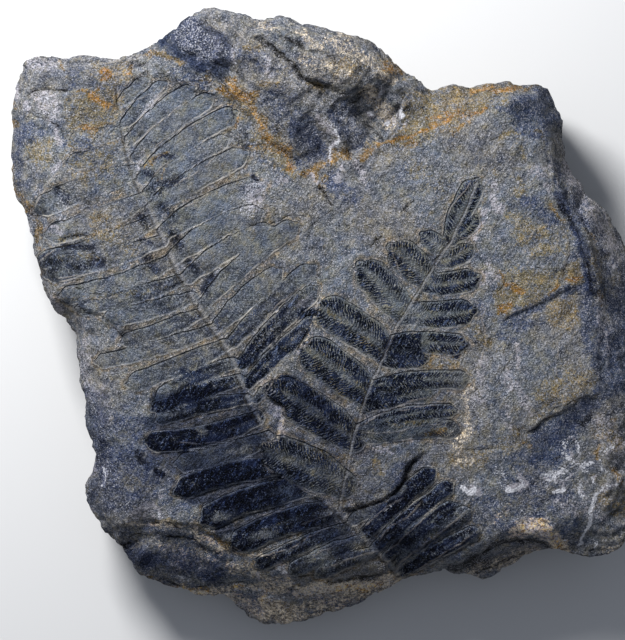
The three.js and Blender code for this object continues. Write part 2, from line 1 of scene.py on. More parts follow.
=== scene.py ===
# A fossil fern slab: a hand-sized block of dark slate lying on its back, with two fern leaves pressed on its
# upper face. Positions on the slab are picture positions, [x, y] in pixels, x to the right and y down, and
# heights are in mm above the underside.

import bmesh
import bpy
import numpy as np
from mathutils import Matrix, Vector, noise
from mathutils.bvhtree import BVHTree
from mathutils.geometry import delaunay_2d_cdt


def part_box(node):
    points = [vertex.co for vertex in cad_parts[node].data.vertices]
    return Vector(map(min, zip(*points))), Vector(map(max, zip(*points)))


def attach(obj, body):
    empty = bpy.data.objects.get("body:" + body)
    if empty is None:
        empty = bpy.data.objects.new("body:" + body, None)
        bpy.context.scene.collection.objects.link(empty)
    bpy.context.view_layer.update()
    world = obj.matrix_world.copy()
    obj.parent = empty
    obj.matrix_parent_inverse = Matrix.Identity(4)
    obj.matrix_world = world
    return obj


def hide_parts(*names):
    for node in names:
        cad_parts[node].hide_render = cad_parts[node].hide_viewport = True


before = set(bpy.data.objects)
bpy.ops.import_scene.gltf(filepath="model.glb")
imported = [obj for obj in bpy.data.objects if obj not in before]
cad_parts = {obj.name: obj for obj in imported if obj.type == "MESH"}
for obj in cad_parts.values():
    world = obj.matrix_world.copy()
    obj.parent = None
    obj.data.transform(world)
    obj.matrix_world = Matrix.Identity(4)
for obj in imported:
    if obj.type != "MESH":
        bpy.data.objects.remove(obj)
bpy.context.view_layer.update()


# The slab
# One block of slate, split along its bedding so that the leaves lie open on the upper face, and broken by
# hand all round. It lies loose on its flat underside.

# The broken outline, clockwise from its top left corner: x, y and the height of its edge
OUTLINE = [
    (27, 57, 26), (40, 54, 27), (52, 55, 27), (62, 58, 28), (80, 54, 28), (100, 56, 29), (118, 57, 30),
    (137, 52, 31), (150, 45, 32), (156, 41, 32), (163, 33, 32), (176, 25, 33), (193, 13, 35), (208, 6, 35),
    (227, 8, 35), (249, 15, 36), (259, 19, 36), (272, 15, 37), (288, 14, 36), (300, 22, 36), (326, 28, 36),
    (343, 32, 36), (357, 35, 35), (369, 40, 34), (384, 49, 33), (390, 57, 32), (397, 64, 31), (404, 71, 30),
    (416, 75, 29), (422, 81, 28), (431, 87, 28), (451, 83, 28), (471, 86, 28), (490, 82, 28), (510, 80, 28),
    (514, 84, 28), (527, 84, 27), (542, 83, 25), (549, 88, 24), (556, 103, 24), (562, 112, 24),
    (565, 121, 24), (563, 138, 25), (568, 154, 24), (572, 168, 24), (587, 190, 25), (602, 204, 24),
    (610, 213, 24), (622, 235, 23), (631, 252, 23), (638, 280, 25), (643, 315, 25), (642, 350, 26),
    (645, 390, 28), (643, 430, 29), (641, 470, 29), (637, 505, 28), (630, 535, 27), (622, 548, 26),
    (610, 555, 25), (592, 559, 25), (573, 555, 25), (561, 551, 24), (548, 550, 18), (535, 554, 15),
    (521, 562, 14), (507, 570, 13), (493, 579, 13), (483, 582, 12), (473, 578, 13), (456, 577, 15),
    (446, 571, 18), (430, 577, 18), (408, 580, 16), (399, 584, 14), (388, 591, 15), (372, 599, 14),
    (357, 607, 14), (329, 616, 14), (299, 625, 14), (282, 627, 13), (263, 627, 12), (250, 621, 12),
    (238, 611, 10), (230, 601, 13), (218, 599, 14), (198, 598, 15), (180, 591, 17), (165, 587, 17),
    (150, 582, 18), (138, 576, 18), (131, 566, 19), (120, 549, 20), (112, 540, 20), (101, 532, 21),
    (97, 522, 21), (90, 511, 22), (84, 498, 22), (83, 485, 22), (90, 474, 23), (93, 460, 24), (90, 440, 24),
    (84, 424, 24), (82, 396, 24), (78, 380, 24), (76, 355, 24), (74, 336, 24), (69, 326, 24), (62, 317, 25),
    (53, 313, 25), (48, 300, 25), (42, 288, 25), (37, 268, 25), (33, 253, 25), (28, 228, 25), (26, 216, 24),
    (20, 205, 23), (15, 198, 22), (11, 185, 22), (9, 160, 22), (11, 135, 22), (10, 112, 23), (13, 90, 24),
    (18, 76, 25), (21, 64, 25),
]

# Heights inside the outline, with flat facets from one to the next
FACE_HEIGHTS = [
    (35, 75, 31), (60, 75, 33), (90, 75, 34), (120, 76, 34.5), (22, 98, 28), (38, 97, 31), (60, 104, 34.5),
    (45, 122, 31.5), (62, 124, 34.5), (25, 118, 28.5), (20, 150, 27), (40, 150, 31), (62, 150, 34),
    (25, 180, 27), (45, 180, 31.5), (70, 170, 35), (32, 205, 28), (52, 210, 33), (45, 235, 31),
    (40, 262, 30), (62, 240, 34.5), (55, 280, 32.5), (52, 298, 30), (70, 300, 33), (85, 325, 31.5),
    (83, 342, 29), (110, 325, 34.3), (88, 365, 29), (105, 365, 33), (92, 400, 28), (110, 400, 33),
    (99, 440, 30), (118, 440, 33), (95, 485, 27), (115, 490, 32.5), (110, 518, 27), (130, 512, 32),
    (100, 120, 35), (130, 90, 35.3), (160, 72, 36), (130, 160, 35), (100, 200, 35), (150, 250, 35),
    (100, 280, 35), (150, 330, 35), (130, 380, 34.5), (200, 180, 35.8), (200, 280, 35.3), (250, 230, 36),
    (240, 130, 36.3), (230, 102, 36.5), (200, 92, 36.5), (250, 320, 35.3), (200, 400, 34.5), (150, 450, 34),
    (200, 480, 34), (160, 500, 33.2), (170, 518, 31.5), (260, 480, 34), (210, 520, 32.5), (290, 520, 33),
    (240, 540, 30.5), (300, 550, 31), (350, 555, 30.5), (260, 558, 29), (300, 571, 27.5), (345, 573, 27.5),
    (385, 571, 27), (400, 530, 33), (440, 520, 33), (460, 550, 29), (430, 560, 28.5), (118, 540, 24),
    (140, 530, 26), (150, 546, 26.5), (136, 560, 23.5), (180, 545, 26.8), (200, 545, 27.5), (218, 560, 26.5),
    (172, 570, 23.5), (205, 582, 21.5), (232, 570, 25), (240, 592, 17), (262, 583, 21.5), (300, 590, 20.5),
    (345, 588, 20.5), (382, 583, 19), (270, 610, 16), (320, 605, 17), (350, 250, 36), (320, 262, 35.5),
    (400, 200, 36.3), (450, 230, 36.5), (400, 280, 36.3), (350, 340, 36), (400, 400, 36), (350, 450, 35.5),
    (400, 480, 35.5), (450, 400, 36), (440, 350, 36.2), (300, 420, 35.5), (320, 480, 34.8),
    (480, 500, 34.5), (300, 200, 37), (280, 187, 37.5), (252, 200, 36.3), (262, 181, 37.6),
    (320, 200, 36.5), (332, 216, 35.5), (160, 54, 34), (182, 52, 36), (205, 64, 38.4), (185, 70, 36.2),
    (205, 80, 36.6), (225, 70, 39), (240, 60, 42.3), (262, 56, 43), (280, 70, 42.8), (265, 79, 42),
    (240, 76, 40.4), (225, 14, 38.4), (240, 22, 40.4), (252, 34, 42.4), (246, 43, 42.6), (262, 90, 41.4),
    (290, 92, 41.8), (262, 106, 38.6), (285, 112, 39.8), (252, 104, 37.4), (262, 125, 37), (275, 145, 36.6),
    (290, 160, 36), (300, 110, 40.6), (294, 138, 37.6), (306, 158, 35), (322, 165, 34), (312, 135, 36.6),
    (282, 28, 42), (300, 36, 43), (330, 46, 43.2), (360, 62, 42), (385, 76, 39), (312, 66, 43.6),
    (345, 78, 42.8), (372, 86, 39), (392, 84, 36.5), (356, 100, 37.4), (361, 114, 33.6), (372, 124, 31.4),
    (386, 130, 31.6),
    (378, 106, 33.8), (392, 104, 34.4), (388, 118, 32.4), (404, 94, 34.4), (360, 128, 35.6), (356, 142, 35.4),
    (368, 141, 34.6), (378, 148, 35.6), (340, 182, 36), (352, 166, 36), (332, 172, 34.6),
    (380, 165, 36.3), (400, 150, 36.3), (446, 128, 37), (495, 108, 37), (520, 98, 35.5), (430, 112, 33.5),
    (470, 100, 32.5), (505, 92, 32), (430, 155, 37), (470, 140, 37), (505, 130, 37), (480, 182, 37),
    (535, 100, 32.5), (545, 120, 31.5), (535, 150, 36.5), (552, 150, 32), (556, 178, 33.5), (548, 195, 37),
    (575, 215, 34), (590, 245, 35.5), (596, 300, 35.5), (592, 350, 36.5), (600, 400, 35.5),
    (572, 395, 37.5), (520, 220, 38), (540, 265, 38), (500, 280, 37.5), (510, 330, 36.5), (560, 320, 36.8),
    (520, 380, 38), (490, 350, 36.8), (500, 430, 37.5), (470, 440, 36.3), (540, 440, 35), (580, 430, 34.5),
    (560, 470, 33.5), (520, 480, 35), (600, 470, 33), (560, 520, 32.5), (510, 530, 32), (600, 520, 30.5),
    (585, 545, 26), (548, 537, 29.5), (500, 556, 19), (530, 548, 19), (480, 572, 16), (510, 562, 16.5),
    (468, 566, 18.5), (612, 300, 31.5), (608, 250, 31), (592, 210, 31), (616, 360, 32.5), (622, 420, 33.5),
    (620, 480, 32.5), (574, 188, 31),
    (460, 560, 27.5), (478, 550, 28.5), (494, 541, 29.5), (512, 536, 30), (530, 534, 30),
]

# Sharp crests and the feet of steps on the broken stone, as x, y and height
CRESTS = [
    [(196, 15, 36.8), (206, 22, 39.8), (216, 38, 42.3), (223, 57, 42.4)],
    [(212, 19, 38.4), (224, 32, 40.4), (236, 46, 41.4)],
    [(258, 35, 42.6), (270, 44, 43.4), (284, 55, 43.8), (297, 67, 43.9), (304, 76, 43.7), (318, 80, 43.4),
     (334, 86, 42.9), (352, 88, 41.6)],
    [(257, 40, 41.6), (267, 49, 41.8), (281, 60, 42), (294, 71, 42), (302, 80, 41.8), (315, 85, 41.4),
     (332, 90, 41)],
    [(326, 114, 40), (335, 128, 39.6), (342, 142, 38), (345, 154, 36.2)],
    [(318, 122, 38), (326, 136, 36.2), (332, 150, 34.8)],
    [(334, 102, 39.6), (345, 118, 37.2), (352, 134, 35.8), (352, 150, 35)],
    [(409, 90, 34.6), (402, 106, 35.8), (400, 126, 35.6), (392, 139, 35.8), (378, 152, 36)],
    [(398, 108, 32.6), (395, 124, 32), (386, 136, 32.2)],
]

low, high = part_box("fossil_slab")
picture_low = np.min(OUTLINE, axis=0)[:2]
picture_high = np.max(OUTLINE, axis=0)[:2]
PICTURE_MIDDLE = (picture_low + picture_high) / 2
MM_PER_PIXEL = (high.x - low.x) * 1000 / (picture_high - picture_low)[0]
MESH_STEP = 0.61  # mm between the points of the face's mesh
RIM_GAP = 0.4 * MESH_STEP  # left between the grid and the rim that is drawn out from it
RIM_MERGE = 0.45 * MESH_STEP  # rim points nearer than this to each other become one
RIM_CHIPS = 1.1  # mm, roughly the depth of the small chips along the rim


def in_mm(spots):
    """Picture positions as mm on the slab: x to the right and y up, from the middle of its box."""
    spots = np.array([spot[:2] for spot in spots], float)
    return (spots - PICTURE_MIDDLE) * (MM_PER_PIXEL, -MM_PER_PIXEL)


def within(ring, at):
    """Which places lie inside a closed ring."""
    inside = np.zeros(len(at), bool)
    for start, end in zip(ring, np.roll(ring, -1, axis=0)):
        crosses = (start[1] > at[:, 1]) != (end[1] > at[:, 1])
        slope = (end[0] - start[0]) / ((end[1] - start[1]) or 1)
        inside ^= crosses & (at[:, 0] < start[0] + (at[:, 1] - start[1]) * slope)
    return inside


def nearest_on(line, at):
    """The nearest place on a line: distance, mm along the line, side (1 on the left hand) and the place."""
    distance = np.full(len(at), np.inf)
    run = np.zeros(len(at))
    side = np.ones(len(at))
    place = np.zeros((len(at), 2))
    walked = 0
    for start, end in zip(line[:-1], line[1:]):
        along = end - start
        length = np.hypot(*along)
        offset = at - start
        share = np.clip(offset @ along / length**2, 0, 1)
        foot = start + share[:, None] * along
        away = np.hypot(*(at - foot).T)
        closer = away < distance
        distance[closer] = away[closer]
        run[closer] = walked + share[closer] * length
        turn = along[0] * offset[:, 1] - along[1] * offset[:, 0]
        side[closer] = np.sign(turn[closer])
        place[closer] = foot[closer]
        walked += length
    return distance, run, side, place


def near_to(line, at, reach):
    """The numbers of the places inside the box round a line, widened by reach mm."""
    return np.flatnonzero(np.all((at > line.min(0) - reach) & (at < line.max(0) + reach), axis=1))


def smooth_step(value, start, end):
    share = np.clip((value - start) / (end - start), 0, 1)
    return share * share * (3 - 2 * share)


def rough(at, size, octaves=3, seed=0.0):
    """Noise about 0 whose largest lumps are size mm across."""
    return np.array([noise.fractal((x / size, y / size, seed), 1, 2, octaves) for x, y in at])


def chip_depth(places):
    """How far the rim is chipped away, in mm: some stretches are whole, and others gone in small bites."""
    return RIM_CHIPS * np.clip(0.25 + rough(places, 5.5, 4, 12.0) + 0.5 * rough(places, 1.6, 2, 14.0), 0, 1.2)


outline = in_mm(OUTLINE)
closed_outline = np.vstack([outline, outline[:1]])
width, depth = outline.max(0) - outline.min(0)

# The face starts as a grid, cut to the outline with a margin, and its edge is drawn out to the outline.
slab = bmesh.new()
columns, rows = round(width / MESH_STEP), round(depth / MESH_STEP)
bmesh.ops.create_grid(slab, x_segments=columns, y_segments=rows, size=0.5)
bmesh.ops.scale(slab, vec=(width, depth, 1), verts=slab.verts)
at = np.array([vert.co[:2] for vert in slab.verts])
chipped = chip_depth(at)
keep = within(outline, at) & (nearest_on(closed_outline, at)[0] > chipped + RIM_GAP)
beyond = [vert for vert, kept in zip(slab.verts, keep) if not kept]
bmesh.ops.delete(slab, geom=beyond, context="VERTS")
while True:
    stray = [vert for vert in slab.verts if sum(edge.is_boundary for edge in vert.link_edges) > 2]
    stray += [vert for vert in slab.verts if not vert.link_faces]
    if not stray:
        break
    bmesh.ops.delete(slab, geom=list(set(stray)), context="VERTS")
edge_of_face = [edge for edge in slab.edges if edge.is_boundary]
drawn = bmesh.ops.extrude_edge_only(slab, edges=edge_of_face)["geom"]
rim = [part for part in drawn if isinstance(part, bmesh.types.BMVert)]
rim_places = nearest_on(closed_outline, np.array([vert.co[:2] for vert in rim]))[3]
for vert, place, chip in zip(rim, rim_places, chip_depth(rim_places)):
    vert.co[:2] = place * (1 - chip / np.hypot(*place))
bmesh.ops.remove_doubles(slab, verts=rim, dist=RIM_MERGE)
slab.verts.index_update()

# Where the stone is broken across its bedding: all round the rim, the mass at the top and the right slope
EDGE_REACH = 13  # mm in from the outline
TOP_MASS = [
    (140, 48), (156, 34), (193, 2), (245, 2), (343, 24), (412, 70), (412, 130), (378, 150), (340, 178),
    (318, 172), (285, 150), (262, 135), (250, 115), (232, 100), (205, 92), (180, 87), (150, 64),
]
RIGHT_SLOPE = [
    (527, 76), (552, 76), (575, 121), (580, 160), (640, 235), (660, 300), (660, 500), (640, 560), (592, 570),
    (606, 480), (600, 400), (594, 350), (598, 300), (585, 240), (570, 205), (555, 170), (545, 110),
]

# Where one bed stops and the next shows. The raised side is on the left hand, walking along the line; step
# is its height and reach how far back it fades out, in mm.
LEDGES = [
    dict(step=0.6, reach=14, line=[(322, 284), (318, 310), (312, 328), (300, 350), (285, 358), (272, 367),
                                   (262, 382), (270, 398), (285, 408), (280, 425), (274, 440), (262, 443),
                                   (262, 462), (277, 473), (300, 488), (318, 498), (340, 514)]),
    dict(step=0.4, reach=8, line=[(428, 190), (405, 212), (385, 232), (372, 247), (355, 254), (335, 262),
                                  (320, 286)]),
    dict(step=0.9, reach=9, line=[(338, 515), (355, 508), (370, 504), (385, 500), (398, 490), (404, 478),
                                  (406, 468), (414, 458), (430, 450)]),
    dict(step=0.7, reach=16, line=[(488, 296), (483, 320), (487, 345), (481, 362), (470, 385), (466, 400),
                                   (466, 414), (470, 424), (463, 438), (462, 450), (454, 466)]),
    dict(step=0.6, reach=8, line=[(562, 284), (563, 272), (569, 252), (567, 236), (560, 228), (548, 222)]),
    dict(step=0.7, reach=10, line=[(499, 322), (514, 313), (530, 306), (548, 299), (562, 290), (584, 283)]),
    dict(step=0.8, reach=12, line=[(526, 434), (545, 419), (560, 412), (576, 401), (586, 396), (603, 395)]),
    dict(step=0.8, reach=8, line=[(148, 62), (168, 76), (180, 87), (205, 92), (232, 100), (250, 115),
                                  (262, 135), (285, 150), (304, 168)]),
    dict(step=0.5, reach=10, line=[(252, 30), (270, 45), (284, 56), (296, 67), (303, 79), (314, 85),
                                   (336, 88)]),
    dict(step=1.6, reach=6, line=[(604, 300), (597, 270), (590, 240), (580, 217), (566, 200), (553, 162)]),
    dict(step=0.9, reach=6, line=[(106, 160), (75, 165), (58, 170), (44, 190), (28, 215)]),
    dict(step=0.6, reach=5, line=[(60, 243), (66, 238), (80, 235), (100, 236)]),
    dict(step=0.6, reach=5, line=[(72, 299), (82, 309), (102, 314), (112, 324), (122, 336), (134, 352)]),
    dict(step=0.9, reach=5, line=[(104, 534), (118, 526), (130, 522), (150, 521), (175, 523), (200, 529),
                                  (225, 540), (246, 555)]),
    dict(step=1.5, reach=4, line=[(222, 566), (250, 577), (286, 578), (315, 578), (345, 577), (376, 574),
                                  (400, 580)]),
    dict(step=2.0, reach=10, line=[(452, 572), (464, 567), (480, 555), (495, 546), (512, 541), (530, 539),
                                   (543, 542), (552, 549), (566, 557)]),
    dict(step=0.9, reach=6, line=[(118, 547), (128, 541), (140, 535), (152, 532), (175, 534), (190, 539),
                                  (205, 549), (218, 557), (228, 563)]),
]

# Open cracks, with their depth and half-width in mm
CRACKS = [
    dict(depth=0.7, width=0.6, line=[(369, 248), (376, 242), (382, 236)]),
    dict(depth=0.6, width=0.6, line=[(402, 213), (409, 205), (415, 198)]),
    dict(depth=1.0, width=0.7, line=[(318, 186), (326, 197), (334, 208)]),
    dict(depth=0.4, width=0.35, line=[(334, 209), (318, 220), (311, 230), (308, 242)]),
    dict(depth=0.5, width=0.4, line=[(298, 212), (285, 218), (268, 225), (248, 226)]),
    dict(depth=0.5, width=0.5, line=[(314, 320), (305, 336), (296, 352)]),
    dict(depth=0.3, width=0.35, line=[(303, 286), (285, 301), (266, 319)]),
    dict(depth=0.8, width=0.7, line=[(416, 456), (404, 480), (397, 492), (384, 500), (364, 507), (346, 513)]),
    dict(depth=0.5, width=0.35, line=[(464, 449), (485, 449), (498, 448)]),
    dict(depth=1.3, width=0.6, line=[(256, 33), (270, 45), (284, 56), (296, 67), (303, 79), (314, 85),
                                     (336, 88)]),
    dict(depth=0.7, width=0.7, line=[(279, 36), (292, 43), (306, 49)]),
    dict(depth=0.3, width=0.3, line=[(306, 49), (318, 53), (332, 56)]),
    dict(depth=0.4, width=0.35, line=[(312, 80), (322, 84), (332, 86)]),
    dict(depth=0.4, width=0.35, line=[(322, 92), (334, 104), (340, 124)]),
    dict(depth=0.4, width=0.35, line=[(344, 147), (351, 156)]),
    dict(depth=0.7, width=0.5, line=[(350, 104), (359, 101), (363, 91)]),
    dict(depth=0.6, width=0.45, line=[(407, 89), (400, 104), (398, 118), (393, 133), (379, 144)]),
    dict(depth=0.4, width=0.4, line=[(215, 61), (223, 67)]),
    dict(depth=0.3, width=0.3, line=[(182, 49), (194, 57)]),
    dict(depth=0.4, width=0.35, line=[(171, 73), (182, 86)]),
    dict(depth=0.5, width=0.4, line=[(24, 98), (33, 91), (45, 89), (60, 90), (74, 91)]),
    dict(depth=0.5, width=0.4, line=[(28, 111), (38, 117), (50, 122), (61, 127)]),
    dict(depth=0.4, width=0.35, line=[(61, 114), (65, 127)]),
    dict(depth=0.6, width=0.45, line=[(60, 243), (66, 238), (72, 236), (82, 235), (100, 236)]),
    dict(depth=0.3, width=0.3, line=[(50, 225), (62, 223)]),
    dict(depth=0.3, width=0.3, line=[(76, 215), (85, 209), (98, 206)]),
    dict(depth=0.3, width=0.3, line=[(107, 194), (118, 189)]),
    dict(depth=0.4, width=0.55, line=[(75, 287), (80, 289), (84, 293), (92, 294), (104, 294)]),
    dict(depth=0.3, width=0.3, line=[(82, 283), (96, 280), (101, 276)]),
    dict(depth=0.3, width=0.3, line=[(136, 280), (147, 275)]),
    dict(depth=0.3, width=0.35, line=[(72, 300), (80, 308), (90, 313), (102, 314), (112, 325), (126, 341)]),
    dict(depth=0.4, width=0.4, line=[(534, 266), (540, 269), (552, 270), (560, 272)]),
    dict(depth=0.4, width=0.4, line=[(492, 296), (500, 289), (505, 282), (509, 275)]),
    dict(depth=0.3, width=0.3, line=[(514, 160), (513, 172), (516, 182)]),
    dict(depth=0.3, width=0.3, line=[(513, 128), (500, 136), (488, 142)]),
    dict(depth=0.3, width=0.4, line=[(603, 395), (585, 396), (575, 400), (565, 405), (552, 410)]),
    dict(depth=0.3, width=0.4, line=[(561, 414), (552, 415), (545, 419), (535, 428), (526, 435)]),
    dict(depth=0.5, width=0.4, line=[(460, 398), (470, 395), (480, 388)]),
    dict(depth=0.5, width=0.4, line=[(466, 417), (478, 417)]),
    dict(depth=0.2, width=0.4, line=[(560, 196), (566, 212), (577, 230), (582, 250), (588, 268), (591, 286),
                                     (597, 298)]),
    dict(depth=0.1, width=0.35, line=[(580, 216), (596, 244), (604, 276), (606, 310)]),
    dict(depth=0.6, width=0.5, line=[(120, 547), (128, 544), (137, 541)]),
    dict(depth=0.5, width=0.4, line=[(128, 538), (140, 534), (148, 534)]),
    dict(depth=0.7, width=0.5, line=[(158, 538), (183, 537), (195, 541), (206, 550), (216, 553), (226, 559)]),
    dict(depth=0.5, width=0.4, line=[(150, 524), (160, 522), (170, 523), (180, 529)]),
    dict(depth=0.5, width=0.4, line=[(225, 564), (233, 559)]),
    dict(depth=0.7, width=0.5, line=[(150, 582), (160, 581), (170, 583), (180, 588), (200, 588), (218, 585),
                                     (228, 585), (242, 583), (258, 586)]),
    dict(depth=0.7, width=0.5, line=[(294, 579), (305, 576), (317, 577)]),
    dict(depth=1.0, width=0.8, line=[(326, 582), (350, 580), (368, 577), (384, 575)]),
    dict(depth=0.4, width=0.4, line=[(300, 583), (290, 592)]),
    dict(depth=0.4, width=0.4, line=[(308, 592), (322, 595)]),
    dict(depth=0.7, width=0.5, line=[(458, 570), (466, 565), (480, 555), (495, 547), (512, 542), (530, 540),
                                     (543, 543), (550, 549)]),
    dict(depth=0.8, width=0.5, line=[(480, 573), (494, 568), (508, 560), (522, 554), (534, 552)]),
    dict(depth=0.5, width=0.4, line=[(203, 19), (214, 29), (224, 38), (236, 50)]),
    dict(depth=0.4, width=0.3, line=[(300, 50), (316, 54), (332, 57), (346, 58)]),
    dict(depth=0.5, width=0.35, line=[(318, 90), (330, 102), (337, 116), (341, 130)]),
    dict(depth=0.4, width=0.35, line=[(330, 90), (342, 94), (356, 93)]),
    dict(depth=0.3, width=0.3, line=[(178, 46), (186, 52), (196, 58)]),
    dict(depth=0.5, width=0.4, line=[(214, 61), (224, 68)]),
]

# Thin raised lines, mostly leaflet edges and the lips of beds: half-width in mm, and how strongly they are
# lightened with a painted highlight
RIDGES = [
    (0.42, 1.0, [(139, 122), (146, 110), (156, 99), (168, 84)]),
    (0.25, 0.6, [(123, 112), (133, 102), (151, 94)]),
    (0.3, 0.8, [(139, 141), (150, 130), (160, 122), (172, 113), (184, 103)]),
    (0.3, 0.8, [(152, 151), (158, 144), (175, 132), (200, 122), (206, 115), (215, 110), (229, 102)]),
    (0.25, 0.6, [(138, 168), (150, 158), (163, 152)]), (0.3, 0.7, [(152, 178), (160, 168), (170, 162)]),
    (0.3, 0.8, [(169, 190), (180, 182), (197, 173), (208, 164), (217, 155), (226, 149)]),
    (0.3, 0.8, [(181, 209), (200, 200), (217, 185), (228, 175), (240, 163)]),
    (0.35, 0.9, [(60, 170), (50, 180), (42, 193), (28, 215)]), (0.3, 0.7, [(37, 264), (46, 255), (56, 249)]),
    (0.3, 0.8, [(56, 279), (70, 277), (90, 274), (104, 270)]), (0.3, 0.8, [(61, 284), (73, 282), (84, 281)]),
    (0.25, 0.6, [(62, 290), (70, 288), (76, 289)]), (0.3, 0.7, [(100, 312), (108, 320), (120, 333)]),
    (0.3, 0.7, [(80, 299), (98, 299), (118, 296)]),
    (0.35, 0.9, [(175, 442), (195, 444), (215, 443), (240, 436)]),
    (0.3, 0.7, [(200, 452), (225, 447), (236, 440)]),
    (0.4, 0.8, [(184, 499), (200, 498), (215, 497), (240, 487), (260, 480), (275, 474)]),
    (0.45, 1.0, [(205, 532), (225, 531), (238, 527), (250, 519), (262, 516), (277, 512), (285, 508),
      (297, 502), (312, 498)]), (0.3, 0.9, [(288, 550), (298, 545), (308, 538), (322, 530), (335, 525)]),
    (0.25, 0.6, [(300, 525), (315, 520), (332, 514)]),
    (0.3, 0.8, [(232, 546), (240, 551), (250, 556), (262, 557), (275, 553), (288, 550)]),
    (0.3, 0.8, [(310, 560), (318, 553), (330, 548), (342, 543), (352, 541)]),
    (0.35, 0.8, [(320, 570), (335, 566), (350, 559), (368, 554), (382, 551)]),
    (0.25, 0.9, [(328, 550), (326, 562)]), (0.3, 1.0, [(319, 286), (318, 300), (316, 310)]),
    (0.35, 0.8, [(266, 318), (280, 303), (297, 290), (308, 283)]),
    (0.35, 0.8, [(284, 405), (285, 425), (278, 440), (262, 444)]),
    (0.3, 0.9, [(262, 463), (270, 470), (288, 480), (300, 488), (318, 499), (330, 503), (338, 510)]),
    (0.3, 0.9, [(280, 374), (273, 379), (270, 388)]), (0.35, 0.6, [(300, 349), (311, 342), (313, 330)]),
    (0.4, 1.0, [(364, 426), (372, 419), (387, 411), (397, 407), (408, 402), (419, 400), (430, 397)]),
    (0.3, 0.8, [(398, 411), (410, 409), (417, 406), (439, 406)]),
    (0.3, 0.7, [(391, 374), (400, 369), (422, 366)]),
    (0.3, 0.8, [(360, 432), (378, 433), (400, 432), (412, 427), (428, 425), (444, 424)]),
    (0.3, 0.7, [(422, 443), (432, 441), (448, 436), (456, 428)]),
    (0.3, 0.6, [(408, 334), (421, 331), (450, 329), (468, 324)]), (0.3, 0.6, [(459, 239), (471, 237)]),
    (0.3, 0.8, [(472, 181), (468, 186), (460, 196), (451, 207), (445, 218), (440, 224)]),
    (0.3, 0.6, [(397, 237), (392, 243), (392, 252), (400, 273), (402, 281)]),
    (0.35, 1.0, [(363, 527), (383, 510), (392, 503), (408, 497)]),
    (0.35, 0.8, [(379, 541), (388, 528), (408, 517), (424, 500)]),
    (0.35, 0.9, [(384, 555), (397, 544), (408, 534), (421, 521), (430, 512), (440, 503)]),
    (0.45, 1.0, [(395, 568), (414, 553), (430, 541), (447, 528), (458, 519), (469, 510)]),
    (0.35, 0.8, [(413, 574), (430, 563), (445, 553), (461, 544), (473, 533)]),
    (0.35, 1.0, [(557, 340), (558, 352), (556, 362), (556, 376)]), (0.3, 0.8, [(483, 302), (480, 313)]),
    (0.35, 0.9, [(595, 494), (595, 506), (588, 520), (589, 536)]),
    (0.3, 0.6, [(603, 456), (605, 468), (611, 480)]),
    (0.4, 0.7, [(311, 76), (322, 79), (340, 84), (354, 84)]), (0.3, 0.6, [(332, 36), (338, 48)]),
    (0.3, 0.6, [(545, 150), (552, 162), (557, 176), (558, 198)]),
    (0.35, 0.7, [(560, 230), (568, 238), (569, 252), (563, 272)]),
    (0.3, 0.7, [(74, 306), (76, 322), (77, 340)]), (0.3, 0.6, [(84, 318), (84, 342)]),
    (0.3, 0.9, [(201, 16), (208, 28), (217, 44), (224, 58)]), (0.3, 0.8, [(234, 50), (235, 66)]),
    (0.3, 0.7, [(228, 24), (240, 36), (252, 48)]), (0.3, 0.7, [(300, 40), (322, 50), (344, 60), (362, 74)]),
    (0.3, 0.7, [(472, 572), (488, 564), (504, 556), (520, 549), (536, 546)]),
    (0.3, 0.7, [(484, 578), (500, 570), (516, 560), (532, 553)]),
    (0.3, 0.8, [(132, 528), (150, 526), (170, 528), (190, 534), (206, 543), (220, 552)]),
    (0.3, 0.7, [(126, 552), (140, 545), (158, 545), (176, 550)]),
    (0.3, 0.6, [(180, 560), (196, 556), (210, 562)]),
    (0.3, 0.8, [(270, 594), (290, 600), (320, 598), (350, 594)]),
    (0.3, 0.6, [(240, 600), (256, 606), (270, 618)]),
    (0.35, 0.9, [(487, 300), (482, 320), (486, 342), (480, 364)]),
    (0.3, 0.8, [(469, 386), (465, 402), (468, 422)]), (0.3, 0.7, [(500, 320), (516, 311), (540, 302)]),
    (0.3, 0.7, [(527, 432), (546, 417), (566, 408)]),
]


def wandering(at, reach, size, seed):
    """Places moved about by noise, so that a line measured from them comes out ragged."""
    return at + reach * np.column_stack([rough(at, size, 3, seed), rough(at, size, 3, seed + 9)])


def run_out(run, line):
    """Ledges and cracks fade in and out over the first and last tenth of their length."""
    share = run / np.hypot(*np.diff(line, axis=0).T).sum()
    return smooth_step(np.minimum(share, 1 - share), 0, 0.1)


def inside_by(ring, at, fade):
    """1 well inside a ring, 0 outside it, with a soft edge of fade mm."""
    distance = nearest_on(np.vstack([ring, ring[:1]]), at)[0]
    return smooth_step(np.where(within(ring, at), distance, -distance), -fade / 2, fade / 2)


def bedded(height, at, bed, seed):
    """Heights drawn towards the steps of thin beds whose edges wander."""
    wander = 0.9 * rough(at, 18, 4, seed)
    level = height / bed + wander
    return (np.floor(level) + smooth_step(level % 1, 0.25, 0.6) - wander) * bed


def facets_over(spots, levels, places, creases=()):
    """Flat facets spanned between spots at their levels, as heights at each place."""
    corners = [Vector(spot) for spot in spots]
    corners_out, _, facets, corners_in, _, _ = delaunay_2d_cdt(corners, list(creases), [], 0, 1e-5)
    raised = [(*corner, levels[source[0]]) for corner, source in zip(corners_out, corners_in)]
    tree = BVHTree.FromPolygons(raised, facets)
    return np.array([tree.ray_cast((x, y, 500), (0, 0, -1))[0].z for x, y in places])


